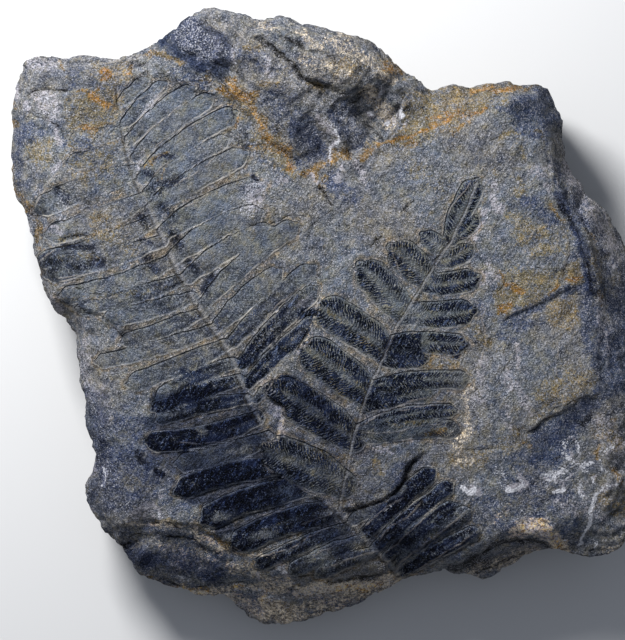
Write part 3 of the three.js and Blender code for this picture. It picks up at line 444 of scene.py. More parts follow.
def splintered(at, spacing, seed, strike=0.0, stretch=1.0):
    """Noise about 0 made of flat facets about spacing mm across, drawn out along the strike."""
    turn = np.array([[np.cos(strike), -np.sin(strike)], [np.sin(strike), np.cos(strike)]])
    places = at @ turn / (spacing * stretch, spacing)
    low_corner = np.floor(places.min(0)) - 2
    across, down = (np.ceil(places.max(0)) - low_corner + 3).astype(int)
    cells = np.stack(np.meshgrid(np.arange(across), np.arange(down)), axis=-1).reshape(-1, 2)
    chance = np.random.default_rng(seed)
    spots = low_corner + cells + chance.uniform(-0.4, 0.4, cells.shape)
    return facets_over(spots, chance.uniform(-1, 1, len(spots)), places)


at = np.array([vert.co[:2] for vert in slab.verts])
spots = OUTLINE + FACE_HEIGHTS
creases = []
for crest in CRESTS:
    creases += [(len(spots) + number, len(spots) + number + 1) for number in range(len(crest) - 1)]
    spots = spots + crest
JUST_INSIDE = 0.9995  # of the way out, so that each rim point has a facet over it
height = facets_over(in_mm(spots), [spot[2] for spot in spots], at * JUST_INSIDE, creases)
for vert, vert_height in zip(slab.verts, height):
    vert.co.z = vert_height

# Facets meet softly on the bedding face and stay sharp where the stone is broken.
SOFT_EDGE = 4  # mm over which broken stone gives way to the face
SOFTENING = 30  # rounds of smoothing
from_edge = nearest_on(closed_outline, at)[0]
broken = 1 - smooth_step(from_edge, 0, EDGE_REACH)
for region in (TOP_MASS, RIGHT_SLOPE):
    broken = np.maximum(broken, inside_by(in_mm(region), at, SOFT_EDGE))
even = [vert for vert, share in zip(slab.verts, broken) if share < 0.5]
for _ in range(SOFTENING):
    bmesh.ops.smooth_vert(slab, verts=even, factor=0.5, use_axis_z=True)
height = np.array([vert.co.z for vert in slab.verts])

STRIKE = np.radians(-35)  # the way that splinters run where the stone is broken
SPLINTERS = [(0.55, 7, 3, 1.6), (0.4, 2.8, 4, 1.5), (0.26, 1.3, 5, 1.3)]  # mm high, mm apart, seed, stretch
BROKEN_BED = 1.4  # mm, the thickness of a bed there
BED_SHARE = 0.4  # how far broken stone follows its beds
SWELLS = [(0.3, 22, 31.0), (0.16, 4.5, 44.0)]  # mm high, mm across, seed
FLAKES = [(0.14, 4, 6), (0.09, 1.6, 7)]  # mm high, mm apart, seed
height += broken * sum(rise * splintered(at, spacing, seed, STRIKE, stretch)
                       for rise, spacing, seed, stretch in SPLINTERS)
height += broken * BED_SHARE * (bedded(height, at, BROKEN_BED, 20.0) - height)
height += sum(rise * rough(at, size, 3, seed) for rise, size, seed in SWELLS)
height += sum(rise * splintered(at, spacing, seed) for rise, spacing, seed in FLAKES)
ragged = wandering(at, 0.8, 5, 50.0)
for ledge in LEDGES:
    line = in_mm(ledge["line"])
    distance, run, side, _ = nearest_on(line, ragged)
    height += (side > 0) * ledge["step"] * run_out(run, line) * np.exp(-distance / ledge["reach"])

# Each point keeps how many half-widths it lies from the nearest crack, with a sign for the side, and how far
# that crack is open there.
FAR = 9.0  # half-widths or mm, a distance that counts as nowhere near
crack_off, crack_open = np.full(len(at), FAR), np.zeros(len(at))
hair = wandering(at, 0.4, 2.2, 55.0)
opening = 0.85 + 0.6 * rough(at, 4, 3, 58.0)
for crack in CRACKS:
    line = in_mm(crack["line"])
    near = near_to(line, at, 4 * crack["width"] + 1)
    distance, run, side, _ = nearest_on(line, hair[near])
    share = distance / (crack["width"] * opening[near])
    height[near] -= crack["depth"] * run_out(run, line) * np.exp(-(share**2))
    nearer = share < abs(crack_off[near])
    crack_off[near[nearer]] = (share * side)[nearer]
    open_here = run_out(run, line) * np.clip(0.5 + crack["depth"], 0, 1) * (share < 3)
    crack_open[near[nearer]] = open_here[nearer]

# The same for the thin raised lines
RIDGE_CROWN = 0.12  # mm
RIDGE_SPREAD = 0.6  # mm
ridge_off, ridge_up = np.full(len(at), FAR), np.zeros(len(at))
for half_width, strength, line in RIDGES:
    line = in_mm(line)
    near = near_to(line, at, 3)
    distance, run, side, _ = nearest_on(line, hair[near])
    share = distance / half_width
    height[near] += RIDGE_CROWN * strength * run_out(run, line) * np.exp(-((distance / RIDGE_SPREAD) ** 2))
    nearer = share < abs(ridge_off[near])
    ridge_off[near[nearer]] = (share * side)[nearer]
    ridge_up[near[nearer]] = (run_out(run, line) * strength * (share < 4))[nearer]


# The leaves
# Two pinnate leaves flattened between the beds. Each leaflet is a low swelling with a furrow round it and
# along its midrib, and keeps a thin film of carbon with the leaflet's side veins in it.

LEAFLET_CROWN = 0.48  # mm above the face
LEAFLET_MARGIN = 0.2  # mm, depth of the furrow round it
LEAFLET_FLAT = 0.55  # share of the crown that is a flat plate; the rest is its belly
FURROW_OFF, FURROW_WIDTH = 0.45, 0.35  # mm outside the leaflet's edge, and mm
MIDRIB_SINK = 0.12  # mm
MIDRIB_WIDTH = 0.4  # mm
STALK_CROWN = 0.45  # mm
LEAFLET_REACH = 1.6  # half-widths from its midrib that a leaflet acts on
VEIN_LEAN = 0.7  # mm that a side vein runs forward for each mm outward
ROW_SHARES = [0.05, 0.5, 0.95]  # how far along a leaflet its row gives the film and the relief

# A stalk runs from its leaf's tip to its base. A leaflet's row is its base x and y, tip x and y, bow to the
# left hand and half-width, then how much film and how much relief is left at its base, middle and tip.
LARGE_LEAF = dict(
    stalk=[(119, 90), (123, 120), (128, 150), (137, 180), (149, 207), (163, 236), (173, 258), (182, 276),
           (190, 291), (200, 307), (212, 325), (224, 342), (232, 356), (238, 373), (246, 393), (256, 414),
           (272, 438), (292, 464), (318, 492), (341, 514), (357, 528), (370, 545), (384, 558), (399, 575)],
    stalk_half_width=2.4,
    stalk_shown=0.6,
    vein_depth=0.35,
    feathered=0.3,
    leaflets=[
        (121, 103, 148, 79, 1, 7, (0.35, 0.2, 0.45), (0.6, 0.8, 0.6)),
        (125, 124, 166, 83, 2, 7.5, (0.45, 0.2, 0.1), (0.8, 1, 0.8)),
        (130, 140, 194, 88, 3, 8.5, (0.3, 0.15, 0.2), (0.8, 1.2, 0.8)),
        (136, 156, 212, 97, 3, 9, (0.35, 0.1, 0.05), (0.7, 1.2, 0.8)),
        (142, 177, 236, 112, 5, 10.5, (0.3, 0.05, 0.05), (0.8, 1, 0.9)),
        (147, 192, 228, 139, 4, 8, (0.4, 0.05, 0.05), (0.7, 0.7, 0.6)),
        (152, 207, 246, 154, 3, 11.5, (0.35, 0.1, 0.05), (0.7, 1, 1)),
        (166, 231, 263, 186, 5, 12.5, (0.4, 0.1, 0), (0.8, 1, 0.2)),
        (176, 256, 262, 212, 6, 11.5, (0.35, 0.15, 0.1), (0.8, 1, 0.6)),
        (188, 277, 272, 229, 5, 10.5, (0.4, 0.2, 0.1), (0.8, 1, 1)),
        (204, 303, 296, 224, 4, 10, (0.4, 0.25, 0.15), (0.8, 1, 1)),
        (220, 324, 281, 271, 2, 11, (0.5, 0.35, 0.2), (0.8, 1, 1)),
        (234, 341, 314, 267, 3, 9.5, (0.6, 0.5, 0.35), (0.8, 1, 1)),
        (242, 364, 318, 288, 3, 9.5, (0.9, 0.7, 0.45), (0.9, 1.1, 1)),
        (248, 384, 318, 318, 2, 9, (0.95, 0.85, 0.58), (1, 1.2, 1)),
        (256, 400, 297, 354, 1, 6, (0.7, 0.4, 0), (1, 1, 0.5)),
        (124, 130, 70, 141, 1, 8, (0.1, 0.1, 0.1), (0.3, 0.2, 0.4)),
        (128, 150, 68, 162, 1, 9, (0.2, 0.25, 0.2), (0.4, 0.2, 0.6)),
        (135, 172, 36, 210, -3, 12, (0.1, 0.1, 0.45), (0.4, 0.1, 1)),
        (146, 198, 46, 236, 3, 11, (0.35, 0.1, 0.2), (0.5, 0.1, 0.8)),
        (155, 220, 38, 261, 5, 9.5, (0.3, 0.1, 0.6), (0.6, 0.1, 1.2)),
        (163, 240, 46, 276, 2, 9, (0.3, 0.15, 0.55), (0.6, 0.2, 1.2)),
        (172, 260, 60, 296, 6, 10, (0.3, 0.2, 0.2), (0.6, 0.4, 0.8)),
        (182, 279, 76, 309, 3, 8.5, (0.6, 0.4, 0.35), (0.6, 0.6, 0.8)),
        (193, 297, 104, 319, 2, 9, (0.5, 0.4, 0.3), (0.6, 0.7, 0.8)),
        (203, 312, 122, 342, 2, 8.5, (0.55, 0.45, 0.35), (0.7, 0.8, 0.8)),
        (214, 329, 96, 362, 3, 8, (0.5, 0.45, 0.3), (0.7, 0.8, 0.8)),
        (225, 345, 128, 384, 2, 10, (0.5, 0.45, 0.3), (0.7, 1, 0.8)),
        (233, 363, 156, 399, -3, 8.5, (0.5, 0.8, 0.3), (1, 1.3, 1)),
        (240, 380, 152, 410, -2, 8.5, (0.7, 1, 0.9), (1, 1.6, 1.2)),
        (248, 399, 156, 420, -3, 7.5, (0.7, 0.9, 0.5), (1, 1.6, 1)),
        (257, 418, 146, 441, 7, 11, (0.8, 1, 1), (1, 2, 1.4)),
        (268, 438, 176, 464, 3, 10, (0.5, 0.35, 0.3), (1, 1, 1)),
        (284, 466, 176, 491, -5, 11.5, (0.9, 1, 1), (1, 2, 1.6)),
        (308, 488, 202, 521, -6, 13, (0.4, 0.9, 1), (1, 2, 1.6)),
        (338, 511, 232, 547, -6, 13.5, (0.6, 0.8, 0.95), (1, 1.6, 1.2)),
        (346, 528, 256, 567, -2, 8, (0.5, 0.7, 0.8), (1, 1.3, 1)),
        (358, 541, 290, 573, -2, 8.5, (0.35, 0.45, 0.6), (1, 1.2, 1)),
        (374, 552, 316, 577, -2, 7.5, (0.5, 0.6, 0.5), (1, 1.2, 1)),
        (354, 520, 412, 488, 3, 9, (0.4, 0.6, 0.3), (1, 1.2, 0.6)),
        (366, 534, 434, 470, 2, 9.5, (0.8, 1, 1), (1, 1.8, 1.2)),
        (376, 548, 452, 484, 2, 8.5, (0.8, 0.95, 0.9), (1, 1.8, 1.2)),
        (387, 557, 456, 504, 2, 7.5, (0.8, 0.8, 0.8), (1, 1.8, 1.2)),
        (393, 566, 470, 510, 3, 8.5, (0.6, 0.55, 0.6), (1, 1.8, 1.2)),
        (401, 575, 480, 530, 2, 8, (0.8, 0.9, 0.7), (1, 1.5, 1)),
    ],
)
SMALL_LEAF = dict(
    stalk=[(477, 184), (470, 203), (463, 219), (456, 232), (450, 244), (443, 254), (436, 265), (428, 278),
           (420, 291), (411, 305), (401, 321), (394, 333), (390, 344), (384, 358), (378, 371), (372, 384),
           (367, 397), (363, 409), (359, 424), (354, 437), (351, 452), (349, 466), (346, 480), (342, 500),
           (340, 513)],
    stalk_half_width=1.5,
    stalk_shown=1.0,
    vein_depth=1.0,
    feathered=0.68,
    leaflets=[
        (451, 238, 477, 181, 2, 12, (0.7, 0.75, 1), (1, 1, 1)),
        (455, 238, 477, 217, -2, 7.5, (0.9, 1, 1), (1, 1, 1)),
        (445, 250, 422, 234, 0, 10, (0.45, 0.6, 0.9), (0.8, 0.8, 1)),
        (428, 281, 391, 247, -2, 17, (0.6, 0.7, 0.85), (1, 1, 1.2)),
        (404, 314, 360, 265, -2, 17, (0.5, 0.65, 0.85), (1, 1, 1.2)),
        (387, 352, 317, 306, -3, 18.5, (0.8, 0.85, 0.95), (1, 1.1, 1.2)),
        (367, 394, 302, 346, -2, 20, (0.95, 0.95, 0.9), (1, 1.2, 1)),
        (352, 439, 269, 388, -3, 20, (0.8, 1, 1), (1, 1.3, 1.4)),
        (342, 484, 259, 450, -3, 21, (0.5, 0.75, 0.8), (1, 1.1, 1)),
        (441, 262, 472, 247, -2, 9.5, (0.5, 0.8, 0.9), (0.8, 1, 1)),
        (428, 285, 478, 277, -2, 12, (0.8, 1, 1), (1, 1.1, 1)),
        (406, 314, 474, 311, -2, 13.5, (0.15, 1, 1), (0.4, 1.1, 1)),
        (392, 342, 466, 345, 1, 11, (1, 1, 1), (1, 1.1, 1)),
        (384, 360, 426, 358, 0, 10.5, (1, 1, 1), (1, 1.1, 0.8)),
        (376, 386, 468, 380, 3, 9.5, (1, 0.9, 0.35), (1, 1.4, 1)),
        (368, 406, 432, 392, 2, 9, (1, 0.9, 0.5), (1, 1.4, 1)),
        (361, 428, 456, 411, 5, 8, (0.6, 0.95, 0.8), (1.2, 1.6, 1)),
        (357, 440, 458, 430, 5, 9.5, (0.5, 0.35, 0.58), (1, 1.4, 1.2)),
    ],
)
# The small leaf lies on a bed of its own, which covers the large leaf here.
UPPER_BED = [
    (322, 284), (318, 310), (312, 328), (300, 350), (285, 358), (272, 367), (262, 382), (270, 398),
    (285, 408), (280, 425), (274, 440), (262, 443), (262, 462), (277, 473), (300, 488), (318, 498),
    (340, 514), (355, 508), (370, 504), (385, 500), (398, 490), (404, 478), (406, 468), (414, 458),
    (470, 440), (484, 300), (495, 165), (440, 165), (428, 190), (372, 247), (335, 262),
]


def leaflet_line(base, tip, bow):
    """The midrib: a curve from base to tip, bowed to the left hand."""
    base, tip = in_mm([base, tip])
    along = tip - base
    left = np.array([-along[1], along[0]]) / np.hypot(*along)
    bend = (base + tip) / 2 + 2 * bow * MM_PER_PIXEL * left
    shares = np.linspace(0, 1, 13)[:, None]
    return (1 - shares) ** 2 * base + 2 * shares * (1 - shares) * bend + shares**2 * tip


def leaflet_width(share, width, length):
    """Half-width along a leaflet: it swells from its base and ends in a round tip."""
    round_from = 1 - width / length
    rounding = np.sqrt(1 - np.clip((share - round_from) / (1 - round_from), 0, 1) ** 2)
    return width * (0.72 + 0.28 * smooth_step(share, 0, 0.3)) * rounding


def press_leaf(leaf, at):
    """What a leaf leaves on the face: its relief in mm, and the marks that draw its film and lines."""
    relief, film, lines, vein_run, veins = np.zeros((5, len(at)))
    margin, stalk_off = np.full((2, len(at)), FAR)
    for base_x, base_y, tip_x, tip_y, bow, half_width, films, raised in leaf["leaflets"]:
        line = leaflet_line((base_x, base_y), (tip_x, tip_y), bow)
        width = half_width * MM_PER_PIXEL
        near = near_to(line, at, LEAFLET_REACH * width)
        distance, run, _, _ = nearest_on(line, at[near])
        length = np.hypot(*np.diff(line, axis=0).T).sum()
        share = run / length
        half = np.maximum(leaflet_width(share, width, length), 0.3 * width)
        owned = distance - half < np.minimum(margin[near], 0.6 * width)
        near, distance, run, share, half = near[owned], distance[owned], run[owned], share[owned], half[owned]
        margin[near] = distance - half
        lines[near] = np.interp(share, ROW_SHARES, raised)
        plate = 1 - smooth_step(margin[near], -0.5, 0.3)
        belly = np.clip(1 - (distance / half) ** 2, 0, 1)
        furrow = np.exp(-(((margin[near] - FURROW_OFF) / FURROW_WIDTH) ** 2))
        rib = np.exp(-((distance / MIDRIB_WIDTH) ** 2)) * (1 - share**4)
        crown = LEAFLET_FLAT * plate + (1 - LEAFLET_FLAT) * belly
        pressed = LEAFLET_CROWN * crown - LEAFLET_MARGIN * furrow - MIDRIB_SINK * rib
        relief[near] = pressed * lines[near]
        across = distance / half
        band = smooth_step(across, 0.02, 0.45) * (1 - smooth_step(across, 0.68, 1.05))
        film[near] = np.interp(share, ROW_SHARES, films) * (1 - smooth_step(margin[near], -1.0, 0.2))
        film[near] *= 1 - leaf["feathered"] * (1 - band)
        vein_run[near] = run - VEIN_LEAN * distance
        veins[near] = leaf["vein_depth"] * (1 - smooth_step(margin[near], -0.6, 0))
    line = in_mm(leaf["stalk"])
    width = leaf["stalk_half_width"] * MM_PER_PIXEL
    distance, run, side, _ = nearest_on(line, at)
    near = distance < 4 * width
    stalk_off[near] = (side * distance / width)[near]
    swell = 1 - smooth_step(distance, 0.2 * width, 1.5 * width)
    relief = relief * (1 - swell) + leaf["stalk_shown"] * STALK_CROWN * swell
    film *= 1 - 0.8 * (1 - smooth_step(distance, 0.6 * width, 1.3 * width))
    veins *= distance > 1.2 * width
    stalk_up = leaf["stalk_shown"] * (distance < 4 * width)
    return dict(relief=relief, film=film, lines=lines, margin=margin, vein_run=vein_run, veins=veins,
                stalk_off=stalk_off, stalk_up=stalk_up)


# Leaflets are a little ragged, so they are measured from places that wander.
leaf_at = wandering(at, 0.35, 4, 70.0)
on_upper_bed = inside_by(in_mm(UPPER_BED), ragged, 0.6) > 0.5
large, small = press_leaf(LARGE_LEAF, leaf_at), press_leaf(SMALL_LEAF, wandering(at, 0.3, 3.5, 70.0))
leaf_marks = {name: np.where(on_upper_bed, small[name], large[name]) for name in large}
height += leaf_marks.pop("relief")

# Where more film lies than the leaflets carry, and where it is gone: line, half-width in pixels and strength
FILM_SMEARS = [
    ([(388, 346), (404, 342), (414, 341)], 8, 1.0), ([(392, 357), (412, 358)], 8, 1.0),
    ([(392, 381), (418, 379)], 8, 1.0), ([(375, 403), (390, 400)], 8, 1.0),
    ([(448, 350), (456, 355)], 4, 0.9), ([(274, 384), (276, 396), (290, 406), (300, 413)], 6, 1.0),
    ([(284, 380), (300, 386), (322, 404), (336, 418)], 7, 1), ([(338, 352), (350, 366)], 5, 1.0),
    ([(300, 316), (308, 311), (312, 313)], 5, 1.0), ([(282, 480), (279, 482)], 5, 0.9),
    ([(150, 440), (165, 448), (185, 447)], 7, 0.9), ([(138, 452), (144, 466)], 5, 0.6),
    ([(155, 472), (163, 475)], 4, 0.8), ([(262, 480), (290, 484), (300, 492)], 6, 0.6),
    ([(250, 362), (262, 345), (280, 330)], 6, 0.7), ([(298, 404), (330, 412)], 4, 0.6),
    ([(144, 172), (152, 175)], 5, 0.58), ([(150, 187), (160, 192)], 6, 0.6),
    ([(140, 217), (148, 226)], 6, 0.6), ([(142, 240), (150, 243)], 5, 0.58),
    ([(146, 257), (156, 270)], 7, 0.58), ([(131, 202), (138, 202)], 3.5, 0.6),
    ([(136, 114), (130, 128)], 4, 0.5), ([(154, 158), (172, 156)], 5, 0.58),
    ([(158, 186), (182, 180)], 7, 0.58), ([(152, 143), (162, 145)], 4, 0.5),
    ([(240, 143), (246, 147)], 5, 0.55), ([(243, 131), (247, 134)], 4, 0.5),
    ([(231, 106), (234, 118)], 1.6, 0.7), ([(253, 176), (257, 179)], 3.5, 0.8),
    ([(163, 205), (172, 214)], 7, 0.58), ([(172, 232), (180, 246)], 6, 0.6),
    ([(188, 262), (196, 272)], 6, 0.6), ([(204, 290), (212, 276)], 6, 0.6),
    ([(182, 370), (198, 376)], 5, 0.7), ([(62, 246), (80, 246), (92, 248)], 5, 0.58),
    ([(66, 268), (84, 266), (101, 262)], 7, 0.58), ([(58, 190), (66, 200)], 7, 0.58),
    ([(40, 262), (58, 262)], 6, 0.6), ([(122, 334), (130, 330)], 4, 0.5),
    ([(138, 296), (148, 300)], 5, 0.58), ([(86, 192), (92, 200)], 6, 0.25),
    ([(205, 405), (238, 406)], 6, 0.6),
]
FILM_GAPS = [
    ([(215, 520), (235, 512)], 4, 0.6), ([(252, 540), (275, 534)], 4, 0.5),
    ([(180, 474), (195, 470)], 4, 0.6), ([(425, 332), (425, 350)], 4, 1.0),
    ([(287, 393), (300, 400), (320, 413)], 3, 0.7), ([(404, 250), (402, 246)], 3, 0.5),
    ([(196, 426), (204, 431)], 4, 0.9), ([(452, 210), (458, 214)], 4, 0.4),
]

# Colour of the stone: patches of rust, ochre and tan rock and white crystals, which are its own; dark
# blue, partly its own and partly painted shade on faces turned from the lamp; pale mica, partly its own
# and partly a painted highlight on facets turned to the lamp; painted glints of mica; brown-black painted
# shade in cracks and hollows; and broad stretches of painted shade, darker and bluer. Each is a line of
# picture positions, half-width in pixels and strength. One that ends where it starts is an outline, filled
# in, and its half-width is how soft its edge is.
RUST = [
    ([(524, 527), (540, 522), (552, 536), (560, 548)], 5, 0.58),
    ([(140, 578), (170, 588), (205, 592)], 4, 0.4), ([(150, 56), (160, 53), (170, 59), (184, 62)], 3.5, 0.9),
    ([(200, 84), (206, 74), (209, 82)], 3, 0.6), ([(222, 88), (232, 94), (246, 97), (252, 99)], 6, 1.0),
    ([(248, 100), (256, 110), (261, 120), (263, 128)], 6, 0.9), ([(228, 80), (236, 88)], 6, 0.55),
    ([(263, 128), (268, 136), (272, 144)], 6, 0.55), ([(239, 116), (238, 130)], 1.5, 0.9),
    ([(286, 146), (292, 156), (291, 168)], 4, 0.75), ([(252, 146), (270, 150), (284, 148)], 5, 0.58),
    ([(304, 174), (311, 173), (318, 168), (322, 164)], 5, 1.0), ([(312, 174), (318, 180)], 4, 0.8),
    ([(331, 160), (336, 154), (343, 153), (350, 155)], 5, 0.8), ([(322, 186), (328, 178)], 5, 0.58),
    ([(360, 158), (366, 155), (371, 151)], 4, 0.8),
    ([(376, 146), (395, 140), (415, 135), (440, 124), (452, 118)], 2.2, 1.0),
    ([(406, 144), (416, 143)], 4, 0.6), ([(430, 120), (450, 114), (470, 112)], 6, 0.5),
    ([(386, 64), (393, 67), (401, 71)], 5, 0.7),
    ([(472, 92), (485, 89), (500, 89), (512, 89), (520, 86)], 3.5, 1.0), ([(510, 92), (513, 95)], 3, 0.7),
    ([(474, 112), (486, 110)], 3.5, 0.8), ([(525, 89), (540, 84)], 2.5, 0.58),
    ([(533, 130), (540, 131)], 2, 1.0), ([(541, 134), (542, 137)], 2, 0.9),
    ([(500, 272), (505, 276)], 3, 0.8), ([(508, 283), (512, 285)], 3, 0.9),
    ([(513, 289), (521, 292)], 4, 1.0), ([(500, 311), (509, 308)], 4.5, 1.0),
    ([(549, 296), (552, 292)], 3, 0.8), ([(554, 288), (557, 285)], 3, 0.8),
    ([(550, 205), (554, 214), (562, 222)], 2.5, 0.8), ([(598, 290), (602, 304)], 2, 0.8),
    ([(583, 229), (592, 236), (598, 241)], 2.5, 0.6), ([(565, 281), (582, 280)], 1.8, 0.9),
    ([(523, 443), (531, 447)], 3, 0.8), ([(598, 448), (596, 458)], 2.5, 0.8),
    ([(613, 467), (619, 480)], 4.5, 0.7), ([(612, 419), (616, 421)], 2, 0.6),
    ([(103, 71), (108, 73)], 3, 1.0), ([(102, 78), (108, 77)], 3, 1.0), ([(127, 74), (131, 69)], 3, 1.0),
    ([(78, 93), (88, 94)], 2.2, 0.9), ([(92, 97), (104, 103), (108, 108)], 5, 0.8),
    ([(13, 120), (16, 126)], 3, 0.9), ([(12, 98), (14, 106)], 2.5, 0.7), ([(100, 88), (94, 94)], 1.8, 0.7),
    ([(84, 126), (92, 132)], 5, 0.6), ([(14, 190), (19, 196)], 4, 0.8), ([(22, 200), (28, 210)], 4.5, 0.8),
    ([(33, 222), (39, 226), (38, 238)], 4, 0.8), ([(38, 246), (44, 250)], 3, 0.7),
    ([(145, 168), (158, 158), (168, 150)], 2, 0.7), ([(158, 180), (166, 170)], 1.6, 0.6),
    ([(340, 591), (365, 590), (380, 587)], 5, 0.58), ([(268, 592), (262, 600)], 5, 0.4),
    ([(234, 589), (241, 588)], 3, 0.7), ([(205, 532), (222, 540), (230, 546)], 2.5, 0.6),
    ([(455, 132), (472, 120)], 4, 0.5), ([(427, 434), (446, 430)], 3, 0.7),
    ([(10, 165), (12, 186)], 2.5, 0.7), ([(60, 62), (63, 70)], 2.5, 0.6),
]
OCHRE = [
    ([(70, 100), (90, 92), (112, 84), (122, 90), (118, 118), (104, 124), (95, 134), (80, 134), (68, 120),
      (70, 100)], 9, 0.85), ([(92, 62), (128, 64), (128, 84), (96, 88), (92, 62)], 9, 0.55),
    ([(28, 140), (42, 137), (52, 146), (52, 164), (40, 168), (26, 160), (28, 140)], 8, 0.75),
    ([(330, 55), (352, 58), (365, 70), (350, 80), (335, 74), (330, 55)], 9, 0.6),
    ([(380, 62), (402, 74)], 9, 0.5),
    ([(404, 94), (430, 92), (470, 84), (512, 80), (518, 88), (505, 100), (470, 118), (440, 132),
      (420, 146), (398, 148), (390, 142), (400, 125), (404, 94)], 7, 0.7),
    ([(255, 130), (275, 128), (284, 140), (296, 155), (294, 178), (280, 172), (262, 160), (250, 146),
      (255, 130)], 8, 0.75),
    ([(215, 80), (235, 84), (250, 96), (256, 120), (246, 118), (225, 100), (214, 90), (215, 80)], 7, 0.75),
    ([(505, 214), (530, 210), (545, 225), (568, 232), (568, 250), (548, 262), (520, 250), (508, 235),
      (505, 214)], 9, 0.55),
    ([(533, 270), (561, 273), (563, 284), (548, 297), (530, 304), (512, 311), (498, 318), (494, 300),
      (498, 272), (515, 268), (533, 270)], 6, 0.8),
    ([(566, 262), (579, 257), (583, 282), (564, 284), (566, 262)], 3, 0.95),
    ([(554, 300), (576, 296), (580, 312), (574, 328), (552, 324), (548, 308), (554, 300)], 6, 0.7),
    ([(545, 372), (570, 364), (593, 373), (595, 386), (575, 398), (550, 411), (536, 418), (532, 400),
      (545, 372)], 10, 0.55),
    ([(512, 190), (522, 187), (528, 194), (522, 200), (512, 199), (512, 190)], 3, 0.75),
    ([(504, 134), (518, 132)], 4, 0.7), ([(516, 142), (522, 156)], 4, 0.6),
    ([(493, 168), (498, 178)], 3, 0.5), ([(516, 176), (524, 188)], 3, 0.5),
    ([(589, 256), (597, 282)], 6, 0.6),
    ([(155, 522), (175, 522), (195, 526), (212, 533), (232, 545)], 3, 0.8),
    ([(160, 590), (185, 594), (208, 592)], 5, 0.75), ([(300, 592), (340, 587), (382, 585)], 9, 0.65),
    ([(265, 605), (285, 615)], 10, 0.5), ([(60, 240), (90, 238), (118, 232)], 6, 0.5),
    ([(100, 222), (130, 245)], 14, 0.4), ([(60, 257), (100, 256)], 4, 0.5),
    ([(60, 130), (118, 140), (116, 190), (70, 180), (60, 130)], 16, 0.4),
    ([(300, 445), (345, 460)], 8, 0.35), ([(60, 300), (100, 296), (170, 286)], 4, 0.4),
    ([(476, 330), (488, 344)], 6, 0.6), ([(245, 48), (262, 50)], 5, 0.6), ([(258, 84), (278, 86)], 4, 0.5),
    ([(310, 84), (322, 90)], 4, 0.7), ([(366, 146), (374, 142)], 5, 0.6), ([(400, 250), (412, 285)], 5, 0.4),
    ([(330, 312), (350, 330), (380, 352)], 4, 0.5), ([(320, 350), (345, 370), (366, 392)], 3, 0.5),
    ([(316, 366), (340, 385), (352, 400)], 5, 0.58), ([(430, 355), (455, 362), (420, 366)], 6, 0.5),
    ([(395, 424), (428, 422)], 4, 0.6), ([(372, 462), (380, 470)], 5, 0.58),
    ([(425, 540), (438, 535)], 3, 0.5), ([(268, 478), (276, 474)], 3, 0.4),
    ([(300, 535), (270, 528), (290, 524)], 4, 0.4), ([(84, 480), (86, 496)], 3, 0.5),
    ([(460, 462), (520, 440)], 14, 0.3), ([(600, 430), (620, 440)], 12, 0.4),
    ([(600, 500), (625, 510)], 12, 0.4), ([(415, 170), (440, 190)], 14, 0.3),
]
